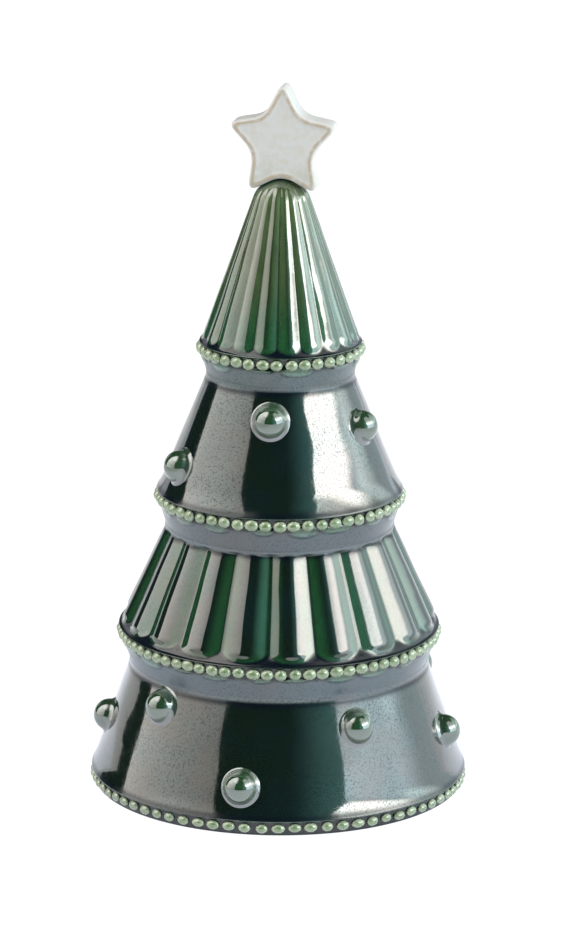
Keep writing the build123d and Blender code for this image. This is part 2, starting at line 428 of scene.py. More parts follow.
@dataclass(frozen=True)
class GreenGlaze:
    """Deep green lustrous glaze: bright where it thins, blue-black where it pools and where shade is painted,
    over pale clay.

    Attributes:
        name: Name of the material.
        deep: Colour of the full glaze.
        teal: Colour of its clouds.
        thin: Colour where it breaks over an edge or a ridge.
        pool_and_shade: Colour where it gathers, and of the painted shade round the foot and behind the beads.
        clay: Colour of the bare foot and inside.
        neck_sheen: Colour of the painted reflection on the necks, a pale lavender.
        bright: Colour where it breaks high on the tree.
        warm: Tint of the lustre in its warm patches.
        cool: Tint of the lustre in its cool patches.
        pit_and_shade: Tint of the lustre where the surface is pitted, and painted shade on the reflection
            where the glaze pools and on the right of the lower ribs.
        index: Refractive index, high as in a lustre glaze.
        gloss: Roughness of the clean glaze.
        lower_start: Heights between which the finish of the lower ribs sets in.
        lower_end: Heights between which it ends.
        top_start: Heights between which the finish of the top ribs sets in.
        bright_start: Heights between which the broken glaze turns bright.
        right_shade_reach: Length over which the painted shade on the lustre sets in, right of the middle of
            the lower ribs.
        calm: Share of the pits that ribs lose.
        cloud_scale: Clouds to a millimetre.
        run_scale: Runs to a millimetre round the wall.
        run_stretch: Their number down the wall, as a share of that.
        grain_scale: Grains to a millimetre.
        cluster_scale: Clusters of pits to a millimetre.
        pit_scale: Pits to a millimetre.
        patch_scale: Patches of the lustre to a millimetre.
        swell_scale: Swells of the surface to a millimetre.
        ripple: Height of the finest relief in metres.
    """

    name: str = "green_glaze"
    deep: Colour = (0.0065, 0.018, 0.011)
    teal: Colour = (0.006, 0.020, 0.018)
    thin: Colour = (0.045, 0.225, 0.075)
    pool_and_shade: Colour = (0.0035, 0.008, 0.016)
    clay: Colour = (0.60, 0.53, 0.43)
    neck_sheen: Colour = (0.40, 0.52, 0.66)
    bright: Colour = (0.17, 0.27, 0.10)
    warm: Colour = (1.0, 0.94, 0.89)
    cool: Colour = (0.91, 1.0, 0.96)
    pit_and_shade: Colour = (0.22, 0.22, 0.21)
    index: float = 2.15
    gloss: float = 0.055
    lower_start: tuple[float, float] = (48.0, 52.0)
    lower_end: tuple[float, float] = (83.0, 86.0)
    top_start: tuple[float, float] = (143.0, 147.0)
    bright_start: tuple[float, float] = (148.0, 172.0)
    right_shade_reach: float = 9.0
    calm: float = 0.65
    cloud_scale: float = 0.06
    run_scale: float = 0.5
    run_stretch: float = 0.12
    grain_scale: float = 1.5
    cluster_scale: float = 0.07
    pit_scale: float = 1.7
    patch_scale: float = 0.07
    swell_scale: float = 0.35
    ripple: float = 2.2e-5

    def material(self) -> bpy.types.Material:
        """Builds the material.

        Returns:
            Glaze whose layer gives thin glaze, pooled glaze with painted shade, and bare clay with a painted
            reflection on the necks.
        """
        material, desk = blank(self.name)
        place = desk.millimetres()
        thin, pool_and_shade, bare = desk.layer()
        cloud = desk.step(desk.noise(place, self.cloud_scale, 3.0), 0.42, 0.7)
        runs = desk.noise(desk.millimetres((1.0, 1.0, self.run_stretch)), self.run_scale, 3.0, 0.6)
        grain = desk.noise(place, self.grain_scale, 3.0, 0.6)
        cluster = desk.step(desk.noise(place, self.cluster_scale, 3.0, 0.6), 0.36, 0.66)
        dots = desk.step(desk.noise(place, self.pit_scale, 2.0, 0.6), 0.5, 0.64)
        patch = desk.step(desk.noise(place, self.patch_scale, 2.0), 0.4, 0.62)
        across, _, level = desk.add("ShaderNodeSeparateXYZ", {0: place}).outputs
        lower = desk.math("SUBTRACT", desk.step(level, *self.lower_start), desk.step(level, *self.lower_end))
        ribbed = desk.plus(lower, desk.step(level, *self.top_start))
        # Painted shade: the lustre of the lower ribs is dimmed on the +X half, which is also rougher
        right_shade = desk.times(lower, desk.step(across, 0.0, self.right_shade_reach))
        pits = desk.times(dots, desk.line(cluster, 0.5, 0.5))
        pits = desk.times(pits, desk.rest(desk.times(ribbed, self.calm)))

        broken = desk.mix(desk.step(level, *self.bright_start), self.thin, self.bright)
        # The third value of the layer gives the painted reflection on the necks where it is low, and bare
        # clay where it is high
        dry = desk.mix(desk.step(bare, 0.3, 0.7), self.neck_sheen, self.clay)
        colour = desk.mix(cloud, self.deep, self.teal)
        colour = desk.mix(desk.times(thin, desk.line(runs, 0.7, 0.45)), colour, broken)
        # Pooled glaze darkens the colour, as does painted shade round the foot and behind the beads
        colour = desk.mix(pool_and_shade, colour, self.pool_and_shade)
        colour = desk.mix(desk.times(pits, 0.5), colour, self.pool_and_shade)
        colour = desk.mix(bare, colour, dry)
        lustre = desk.mix(patch, self.warm, self.cool)
        # The lustre is dulled at the pits, and dimmed by painted shade where the glaze pools and on the right
        # of the lower ribs
        for mark, share in ((pits, 0.85), (pool_and_shade, 0.8), (right_shade, 0.5)):
            lustre = desk.mix(desk.times(mark, share), lustre, self.pit_and_shade)

        rough = desk.line(grain, 0.05, self.gloss - 0.025)
        rough = desk.plus(rough, desk.times(pits, 0.1))
        rough = desk.plus(rough, desk.times(right_shade, 0.06))
        rough = desk.math("MAXIMUM", rough, desk.times(desk.math("SQRT", bare), 0.85))
        rough = desk.plus(rough, desk.times(pool_and_shade, 0.12))
        # The coat thins with the pooled mark: painted shade on the reflection
        coat = desk.math("SUBTRACT", desk.rest(bare), desk.times(pool_and_shade, 0.7))

        swell = desk.times(desk.noise(place, self.swell_scale, 2.0), 2.2)
        relief = desk.plus(desk.plus(swell, desk.times(grain, 0.25)), desk.times(pits, -0.3))
        normal = desk.add("ShaderNodeBump", {"Strength": 0.5, "Distance": self.ripple, "Height": relief})
        shader = desk.add("ShaderNodeBsdfPrincipled", {
            "Base Color": colour, "Roughness": rough, "IOR": self.index, "Specular Tint": lustre,
            "Normal": normal.outputs[0], "Coat Weight": coat,
            "Coat Roughness": 0.03, "Coat IOR": 1.5})
        desk.add("ShaderNodeOutputMaterial", {"Surface": shader.outputs[0]})
        return material


@dataclass(frozen=True)
class DropGlaze:
    """Pale glaze of the beads and studs, greener at the crown, dark in the seam round its foot.

    Attributes:
        name: Name of the material.
        crown: Colour at the crown.
        flank: Colour of the flanks.
        seam: Colour of the pooled glaze round the foot.
        index: Refractive index.
        gloss: Roughness.
        mottle_scale: Mottles to a millimetre.
        swell_scale: Swells of the surface to a millimetre.
        ripple: Height of the finest relief in metres.
    """

    name: str
    crown: Colour
    flank: Colour
    seam: Colour
    index: float = 2.0
    gloss: float = 0.07
    mottle_scale: float = 0.9
    swell_scale: float = 1.1
    ripple: float = 2.0e-5

    def material(self) -> bpy.types.Material:
        """Builds the material.

        Returns:
            Glaze whose layer gives the crown, the seam and a tint of its own for each drop.
        """
        material, desk = blank(self.name)
        place = desk.millimetres()
        crown, seam, tint = desk.layer()
        mottle = desk.noise(place, self.mottle_scale, 3.0, 0.6)
        colour = desk.mix(desk.times(crown, desk.line(mottle, 0.9, 0.4)), self.flank, self.crown)
        colour = desk.mix(desk.times(tint, 0.35), colour, self.crown)
        colour = desk.mix(seam, colour, self.seam)
        rough = desk.line(mottle, 0.06, self.gloss - 0.03)
        relief = desk.noise(place, self.swell_scale, 2.0)
        normal = desk.add("ShaderNodeBump", {"Strength": 0.4, "Distance": self.ripple, "Height": relief})
        shader = desk.add("ShaderNodeBsdfPrincipled", {
            "Base Color": colour, "Roughness": rough, "IOR": self.index, "Normal": normal.outputs[0],
            "Coat Weight": 1.0, "Coat Roughness": 0.03, "Coat IOR": 1.5})
        desk.add("ShaderNodeOutputMaterial", {"Surface": shader.outputs[0]})
        return material


@dataclass(frozen=True)
class StarGlaze:
    """Satin off-white glaze that breaks to tan clay along the edges and takes green near the tip.

    Attributes:
        name: Name of the material.
        white: Colour of the faces.
        tan: Colour of the broken edges.
        green: Colour of the seam where it meets the tip below.
        mint: Tint that the faces take on towards that seam.
        aged: Tint of the faces' warmer mottles.
        gloss: Roughness of the faces.
        mottle_scale: Mottles to a millimetre.
        speck_scale: Specks to a millimetre.
        swell_scale: Swells of the surface to a millimetre.
        ripple: Height of the finest relief in metres.
    """

    name: str = "star_glaze"
    white: Colour = (0.90, 0.892, 0.876)
    tan: Colour = (0.67, 0.56, 0.44)
    green: Colour = (0.05, 0.16, 0.10)
    mint: Colour = (0.55, 0.60, 0.47)
    aged: Colour = (0.97, 0.93, 0.88)
    gloss: float = 0.34
    mottle_scale: float = 0.5
    speck_scale: float = 1.8
    swell_scale: float = 0.8
    ripple: float = 4.0e-5

    def material(self) -> bpy.types.Material:
        """Builds the material.

        Returns:
            Glaze whose layer gives the broken edge, the seam at the tip and the tint over it.
        """
        material, desk = blank(self.name)
        place = desk.millimetres()
        edge, green, blush = desk.layer()
        mottle = desk.noise(place, self.mottle_scale, 4.0, 0.6)
        speck = desk.step(desk.noise(place, self.speck_scale, 1.0), 0.68, 0.76)
        warm = tuple(share * tone for share, tone in zip(self.white, self.aged))
        broken = desk.times(edge, desk.step(mottle, 0.2, 0.55))
        colour = desk.mix(desk.step(mottle, 0.4, 0.7), self.white, warm)
        colour = desk.mix(desk.times(speck, 0.35), colour, self.tan)
        colour = desk.mix(desk.times(blush, desk.step(mottle, 0.3, 0.6)), colour, self.mint)
        colour = desk.mix(broken, colour, self.tan)
        colour = desk.mix(green, colour, self.green)
        rough = desk.line(mottle, 0.12, self.gloss - 0.06)
        rough = desk.plus(rough, desk.times(broken, 0.2))
        relief = desk.noise(place, self.swell_scale, 3.0)
        normal = desk.add("ShaderNodeBump", {"Strength": 0.4, "Distance": self.ripple, "Height": relief})
        shader = desk.add("ShaderNodeBsdfPrincipled", {
            "Base Color": colour, "Roughness": rough, "IOR": 1.5, "Normal": normal.outputs[0]})
        desk.add("ShaderNodeOutputMaterial", {"Surface": shader.outputs[0]})
        return material


# Sub-assemblies


@dataclass
class Piece:
    """A piece of the tree that stands for one CAD node.

    Attributes:
        suffix: End of the piece's name.
        slot: Material slot of the imported record that matches it.
        sharp: Edges that bend more than this many degrees stay crisp.
        node: CAD node that it stands for.
    """

    suffix: ClassVar[str] = "glazed"
    slot: ClassVar[Slot] = Slot.GREEN
    sharp: ClassVar[float] = 50.0
    node: str

    def skin(self) -> Skin:
        """Surface of the piece."""
        raise NotImplementedError

    def build(self, glaze: bpy.types.Material) -> bpy.types.Object:
        """Makes the piece and settles it.

        Args:
            glaze: Its finish.

        Returns:
            The finished piece.
        """
        piece = self.skin().make(f"{self.node}_{self.suffix}", glaze, self.sharp)
        settle(piece, self.node, self.slot)
        return piece


@dataclass
class Tier(Piece):
    """One hollow casting, turned from a rounded half section.

    Attributes:
        floor: Height of the joint under it.
        height: Height from that joint to the one over it.
        seat_radius: Radius of the neck it stands on.
        neck_radius: Radius where the next casting stands on it.
        rim_radius: Widest radius.
        rim_rise: Height of the rim over the joint.
        lip_height: Height of the sloping lip under the rim.
        lip_depth: How far the bead band stands in from the rim.
        seed: Seed of its unevenness.
        wall: Thickness of the wall.
        bead: Height of the band that carries the beads.
        rim_land: Blunt edge of the rim in the CAD, which sets the height of the beads.
        neck_fill: Glaze that fills the joints in the necks.
        collar_length: Length of the collar that centres it on the casting below.
        collar_wall: Thickness of the collar.
        collar_gap: Clearance round the collar.
        columns: Points round the turn.
        rows: Points along the half section.
        uneven: Height of the unevenness of a hand-finished casting.
        neck_drop: How far under the joint the glaze gathers round the neck.
        drip_pitch: Length of the bead band that has one drip under it.
        drip: How far a drip stands out.
        drip_seed: What the seed of the drips adds to that of the unevenness.
        neck_sheen: Share of the painted reflection on the necks.
    """

    floor: float
    height: float
    seat_radius: float
    neck_radius: float
    rim_radius: float
    rim_rise: float
    lip_height: float
    lip_depth: float
    seed: int
    wall: float = 5.0
    bead: float = 3.8
    rim_land: float = 0.4
    neck_fill: float = 0.3
    collar_length: float = 4.0
    collar_wall: float = 3.0
    collar_gap: float = 0.25
    columns: int = 320
    rows: int = 190
    uneven: float = 0.07
    neck_drop: float = 1.7
    drip_pitch: float = 13.0
    drip: float = 0.5
    drip_seed: int = 50
    neck_sheen: float = 0.13

    @property
    def band_radius(self) -> float:
        """Radius of the upright band that carries the beads."""
        return self.rim_radius - self.lip_depth

    @property
    def band_top(self) -> float:
        """Height of the band's upper edge over the joint."""
        return self.rim_rise - self.rim_land / 2 - self.lip_height

    def rim(self) -> list[Corner]:
        """Corners from the joint out under the rim to its edge.

        Returns:
            Rows of (radius, height over the joint, set-back).
        """
        start = self.seat_radius + self.neck_fill
        foot = self.band_top - self.bead
        rise = foot * self.neck_fill / (self.band_radius - self.seat_radius)
        return [
            (start, 0.0, 0.0),
            (start, rise, 0.8 * rise),
            (self.band_radius, foot, 0.9),
            (self.band_radius, self.band_top, 0.3),
            (self.rim_radius, self.rim_rise, 0.5),
        ]

    def neck(self, below: Corner) -> list[Corner]:
        """Corners of the neck over a wall that comes up from the corner below.

        Args:
            below: Last corner of the wall.

        Returns:
            Rows of (radius, height over the joint, set-back).
        """
        radius = self.neck_radius + self.neck_fill
        lean = (below[0] - self.neck_radius) / (self.height - below[1])
        return [(radius, self.height - self.neck_fill / lean, 1.2), (radius, self.height, 0.0)]

    def outside(self) -> list[Corner]:
        """Corners up the outside, from the joint to the mouth."""
        raise NotImplementedError

    def inside(self) -> list[Corner]:
        """Corners down the inside, from the mouth to the joint."""
        raise NotImplementedError

    def collar(self) -> list[Corner]:
        """Corners down the throat, round the collar and back to the joint.

        Returns:
            Rows of (radius, height over the joint, set-back).
        """
        outer = self.seat_radius - self.wall - self.collar_gap
        inner = outer - self.collar_wall
        return [
            (inner, self.wall, 0.6),
            (inner, -self.collar_length, 0.4),
            (outer, -self.collar_length, 0.4),
            (outer, 0.0, 0.2),
        ]

    def section(self) -> Array:
        """Half section round the whole wall.

        Returns:
            Rows of (radius, height over the joint, place).
        """
        outer = self.outside()
        path = rounded(outer + self.inside(), closed=True)
        weight = np.where(path[:, 2] > len(outer) - 0.9, INSIDE_WEIGHT, 1.0)
        return resampled(path, self.rows, True, weight, TURN_WEIGHT)

    def wall_radius(self, rise: Array) -> Array:
        """Radius of the outside over the rim.

        Args:
            rise: Heights over the joint.

        Returns:
            A radius for each height.
        """
        path = rounded(self.outside(), closed=False)
        over = path[path[:, 1] >= self.rim_rise]
        order = np.argsort(over[:, 1])
        return np.interp(rise, over[order, 1], over[order, 0])

    def unevenness(self, bearing: Array, rise: Array) -> Array:
        """Long soft dips: a sum of sines of the bearing and the height with seeded phases.

        Args:
            bearing: Bearings in radians.
            rise: Heights over the joint.

        Returns:
            Offsets of the radius, none of them outwards.
        """
        dice = np.random.default_rng(self.seed)
        total = np.zeros(np.broadcast_shapes(bearing.shape, rise.shape))
        for lobes, pitch in zip((2, 3, 5, 8, 11), (60.0, 45.0, 33.0, 24.0, 19.0)):
            phase = dice.uniform(0.0, FULL_TURN, 2)
            total += np.sin(lobes * bearing + phase[0]) * np.sin(FULL_TURN * rise / pitch + phase[1])
        return np.minimum(total - 1.6, 0.0) * self.uneven * 0.5

    def relief(self, bearing: Array, place: Array, rise: Array, radius: Array) -> tuple[Array, Array, Array]:
        """Depth of the ribs, none on a plain wall, and the glaze on them.

        Args:
            bearing: Bearings in radians, as a row.
            place: Corners passed, as a column.
            rise: Heights over the joint, as a column.
            radius: Radii of the smooth wall, as a column.

        Returns:
            Depths to take off the radius, and the shares of thin and of pooled glaze.
        """
        flat = np.zeros(np.broadcast_shapes(bearing.shape, rise.shape))
        return flat, flat, flat

    def drips(self, bearing: Array, rise: Array) -> Array:
        """Lenses of glaze that hang under the bead band: 1 - (b / w)² - (z / d)², at least 0.

        One lens stands in each equal part of the turn, with seeded widths w, drops d and
        offsets; b and z are counted from its middle, at the foot of the band.

        Args:
            bearing: Bearings in radians, as a row.
            rise: Heights over the joint, as a column.

        Returns:
            Shares from 0 outside a lens to 1 in its middle.
        """
        count = int(FULL_TURN * self.band_radius / self.drip_pitch)
        dice = np.random.default_rng(self.seed + self.drip_seed)
        width = dice.uniform(0.28, 0.52, count)
        drop = dice.uniform(0.6, 3.0, count)
        shift = dice.uniform(-0.12, 0.12, count)
        turn = bearing * count / FULL_TURN
        part = np.floor(turn).astype(int) % count
        across = (turn - np.floor(turn) - 0.5 + shift[part]) / width[part]
        down = (self.band_top - self.bead - rise) / drop[part]
        return np.clip(1.0 - across**2 - down**2, 0.0, 1.0)

    def glaze(self, bearing: Array, place: Array, rise: Array, ridge: Array, groove: Array) -> Array:
        """Thin glaze on edges and ridges, pooled glaze in hollows with painted shade behind the beads, a
        painted reflection on the necks, and bare clay inside.

        Args:
            bearing: Bearings in radians.
            place: Corners passed.
            rise: Heights over the joint.
            ridge: Share of thin glaze on the ribs.
            groove: Share of pooled glaze between them.

        Returns:
            The three glaze values of every point.
        """
        outside = place < len(self.outside()) - 0.5
        over = rise - self.rim_rise
        drips = self.drips(bearing, rise)
        thin = 0.3 * bump(over, 0.0, 0.4) + ridge + 0.8 * eased(drips, 0.25, 0.7) * (over < -0.5)
        pool_and_shade = 0.9 * bump(over, 0.9, 0.9) + bump(rise, self.height - self.neck_drop, 0.8) + groove
        # The band behind the beads is dark: partly pooled glaze, partly painted shade under the beads and rim
        shade = 1.0 - eased(self.band_top - self.bead - rise, -0.2, 1.3)
        pool_and_shade = np.where(over < -0.5, np.maximum(bump(drips, 0.12, 0.12), 0.9 * shade), pool_and_shade)
        under_joint = eased(rise, self.height - 1.2, self.height - 0.7)
        patches = 1.0 + 0.4 * np.sin(2.0 * bearing + self.seed) * np.cos(3.0 * bearing)
        # Painted reflection: a pale lavender sheen on the undersides below the beads and on the necks under
        # the joint
        painted_sheen = np.maximum((over < -0.5) * (1.0 - shade), under_joint) * self.neck_sheen * patches
        bare = np.where(outside, painted_sheen, 1.0)
        values = np.broadcast_arrays(thin, pool_and_shade * (1.0 - 0.7 * np.clip(thin, 0, 1)), bare)
        return np.clip(np.stack(values, axis=-1), 0.0, 1.0)

    def skin(self) -> Skin:
        """Surface (r(s) - depth + waves) turned about the axis, s along the section.

        Returns:
            One grid that closes both ways.
        """
        section = self.section()
        radius, rise, place = (section[:, axis, None] for axis in range(3))
        bearing = np.linspace(0.0, FULL_TURN, self.columns, endpoint=False)[None]
        depth, ridge, groove = self.relief(bearing, place, rise, radius)
        outside = (place < len(self.outside()) - 0.5) & (rise > 0.3) & (rise < self.height - 0.3)
        waves = np.where(outside, self.unevenness(bearing, rise) + self.hang(bearing, rise), 0.0)
        points = turned(radius - depth + waves, bearing, rise + self.floor)
        glaze = self.glaze(bearing, place, rise, ridge, groove)
        return Skin(points[None], glaze[None], wrap_rows=True)

    def hang(self, bearing: Array, rise: Array) -> Array:
        """How far the drips stand out under the rim."""
        return self.drip * eased(self.drips(bearing, rise), 0.0, 0.6) * (rise < self.band_top)


@dataclass
class BaseTier(Tier):
    """Bell-shaped bottom casting with a dry foot.

    Attributes:
        bend_height: Height of the bell's bend over the rim.
        bend_depth: How far the bend stands in from the rim.
        foot_chamfer: Small chamfer round the foot.
        flare_height: Height of the flare over the rim.
        flare_depth: How far the wall over the flare stands in from the rim.
    """

    bend_height: float = 12.35
    bend_depth: float = 4.75
    flare_height: float = 3.2
    flare_depth: float = 1.65
    foot_chamfer: float = 0.4

    def outside(self) -> list[Corner]:
        """Corners from the foot over the rim and up the bell.

        Returns:
            Rows of (radius, height over the joint, set-back).
        """
        flare = (self.rim_radius - self.flare_depth, self.rim_rise + self.flare_height, 2.4)
        bend = (self.rim_radius - self.bend_depth, self.rim_rise + self.bend_height, 6.8)
        foot = [
            (self.band_radius - self.foot_chamfer, 0.0, 0.15),
            (self.band_radius, self.foot_chamfer, 0.2),
        ]
        return foot + self.rim()[3:] + [flare, bend] + self.neck(bend)

    def inside(self) -> list[Corner]:
        """Corners from the mouth down to the foot.

        Returns:
            Rows of (radius, height over the joint, set-back).
        """
        foot_radius = self.band_radius - self.wall
        bend = (self.rim_radius - self.bend_depth - self.wall, self.rim_rise + self.bend_height, 8.0)
        return [
            (self.neck_radius - self.wall, self.height, 0.8),
            bend,
            (foot_radius, self.rim_rise, 3.0),
            (foot_radius, 0.0, 0.5),
        ]

    def drips(self, bearing: Array, rise: Array) -> Array:
        """No drips: the beads stand on the foot."""
        return np.zeros(np.broadcast_shapes(bearing.shape, rise.shape))

    def glaze(self, bearing: Array, place: Array, rise: Array, ridge: Array, groove: Array) -> Array:
        """As on every tier, with painted shade in a dark line round the foot, and the glaze wiped off under
        it.

        Args:
            bearing: Bearings in radians.
            place: Corners passed.
            rise: Heights over the joint.
            ridge: Share of thin glaze on the ribs.
            groove: Share of pooled glaze between them.

        Returns:
            The three glaze values of every point.
        """
        values = super().glaze(bearing, place, rise, ridge, groove)
        # Painted shade: the pooled mark darkens colour and lustre round the foot as the tree's contact shadow
        values[..., 1] = np.maximum(values[..., 1], 1.0 - eased(rise, 0.4, 1.4))
        values[..., 2] = np.maximum(values[..., 2], 1.0 - eased(rise, 0.02, 0.12))
        return values


@dataclass
class PlainTier(Tier):
    """Plain cone with a flared rim.

    Attributes:
        flare_height: Height of the flare over the rim.
        flare_depth: How far the wall over the flare stands in from the rim.
    """

    flare_height: float = 3.95
    flare_depth: float = 2.4

    def outside(self) -> list[Corner]:
        """Corners from the joint over the flared rim and up the cone."""
        flare = (self.rim_radius - self.flare_depth, self.rim_rise + self.flare_height, 3.4)
        return self.rim() + [flare] + self.neck(flare)

    def inside(self) -> list[Corner]:
        """Corners from the mouth down to the collar.

        Returns:
            Rows of (radius, height over the joint, set-back).
        """
        return [
            (self.neck_radius - self.wall, self.height, 0.8),
            (self.rim_radius - self.flare_depth - self.wall, self.rim_rise + self.flare_height, 2.0),
            (self.band_radius - self.wall, self.rim_rise, 1.5),
            *self.collar(),
        ]


@dataclass
class RibbedTier(Tier):
    """Casting with a ring of convex ribs.

    Attributes:
        rib_count: Ribs round the turn.
        rib_depth: Depth of the grooves at the foot.
        rib_bearing: Bearing of the first groove.
        rib_end: Length of the rounded lower end of a rib.
        rib_start: Plain land between the rim and that end.
        rib_land: Depth of that land under the ridges.
        rib_fade: Length over which the grooves die out at the head.
        rib_past: How far past the head they have died out.
        rib_swell: How much sooner a rib steepens than a parabola, k in its formula.
        groove_round: Rounding of a groove as a share of half a rib.
        crown_share: Half width of the darker crown as a share of the rib's.
        ridge_thin: How thin the glaze runs along the flanks.
        rib_wall: Thickness of the wall behind the grooves.
        neck_land: Plain land over the ribs.
    """

    rib_count: int = 20
    rib_depth: float = 2.5
    rib_bearing: float = -4.2
    rib_end: float = 3.4
    rib_start: float = 0.6
    rib_land: float = 0.9
    rib_fade: float = 1.1
    rib_past: float = 0.6
    rib_swell: float = 3.26
    groove_round: float = 0.1
    crown_share: float = 0.55
    ridge_thin: float = 0.45
    rib_wall: float = 3.4
    neck_land: float = 1.0
    columns: int = 480

    def rib_foot(self) -> tuple[float, float]:
        """Radius and height at which the ribs start."""
        return self.rim_radius, self.rim_rise + self.rim_land / 2

    def rib_head(self) -> tuple[float, float]:
        """Radius and height at which the ribs end."""
        return self.neck_radius, self.height - self.neck_land

    def outside(self) -> list[Corner]:
        """Corners from the joint over the rim and up the ridges to the neck.

        Returns:
            Rows of (radius, height over the joint, set-back).
        """
        head = self.rib_head()
        radius = head[0] + self.neck_fill
        return self.rim() + [(radius, head[1], 1.2), (radius, self.height, 0.0)]

    def inside(self) -> list[Corner]:
        """Corners from the mouth down to the collar.

        Returns:
            Rows of (radius, height over the joint, set-back).
        """
        mouth = self.neck_radius - self.wall
        foot = self.rim_radius - self.rib_depth - self.rib_wall
        return [
            (mouth, self.height, 0.8),
            (mouth, self.height - self.neck_land, 1.0),
            (foot, self.rim_rise + self.rib_end, 2.0),
            (self.band_radius - self.wall, self.rim_rise, 1.5),
            *self.collar(),
        ]

    def relief(self, bearing: Array, place: Array, rise: Array, radius: Array) -> tuple[Array, Array, Array]:
        """Convex ribs: depth d (√(1 + k q) - 1) / (√(1 + k) - 1), with q = min(v² + e², 1).

        v grows from 0 on a ridge to 1 in a groove, where a root of squares rounds it. e is the
        reach into the rounded lower end of a rib as a share, so a rib ends like a finger. d
        shrinks with the radius, and eases to the land under the fingers and to nothing at the
        rim and at the head.

        Args:
            bearing: Bearings in radians, as a row.
            place: Corners passed, as a column.
            rise: Heights over the joint, as a column.
            radius: Radii of the smooth wall, as a column.

        Returns:
            Depths to take off the radius, and the shares of thin and of pooled glaze.
        """
        foot, head = self.rib_foot(), self.rib_head()
        low = self.rim_rise + self.rib_start
        wall = (place < len(self.outside()) - 0.5) & (rise > self.rim_rise)
        turn = (bearing - radians(self.rib_bearing)) * self.rib_count / FULL_TURN
        away = 1.0 - np.hypot(np.abs(turn - np.round(turn)) * 2.0, self.groove_round)
        under = np.clip((low + self.rib_end - rise) / self.rib_end, 0.0, 1.0)
        reach = np.sqrt(away**2 + under**2)
        deep = self.rib_depth * radius / foot[0]
        deep = self.rib_land + (deep - self.rib_land) * eased(rise, low, low + self.rib_end)
        last = head[1] + self.rib_past
        ends = eased(rise, self.rim_rise, low) * (1.0 - eased(rise, last - self.rib_fade, last))
        fall = np.sqrt(1.0 + self.rib_swell * np.minimum(reach**2, 1.0)) - 1.0
        depth = np.where(wall, deep * ends * fall / (np.sqrt(1.0 + self.rib_swell) - 1.0), 0.0)
        flank = eased(reach, self.crown_share - 0.3, self.crown_share + 0.2)
        thin = flank * (1.0 - eased(reach, 0.82, 0.97))
        pool_and_shade = eased(reach, 0.8, 1.0) * eased(rise, self.rim_rise, low) * (rise < last - 0.1)
        return depth, np.where(wall, self.ridge_thin * ends * thin, 0.0), np.where(wall, pool_and_shade, 0.0)


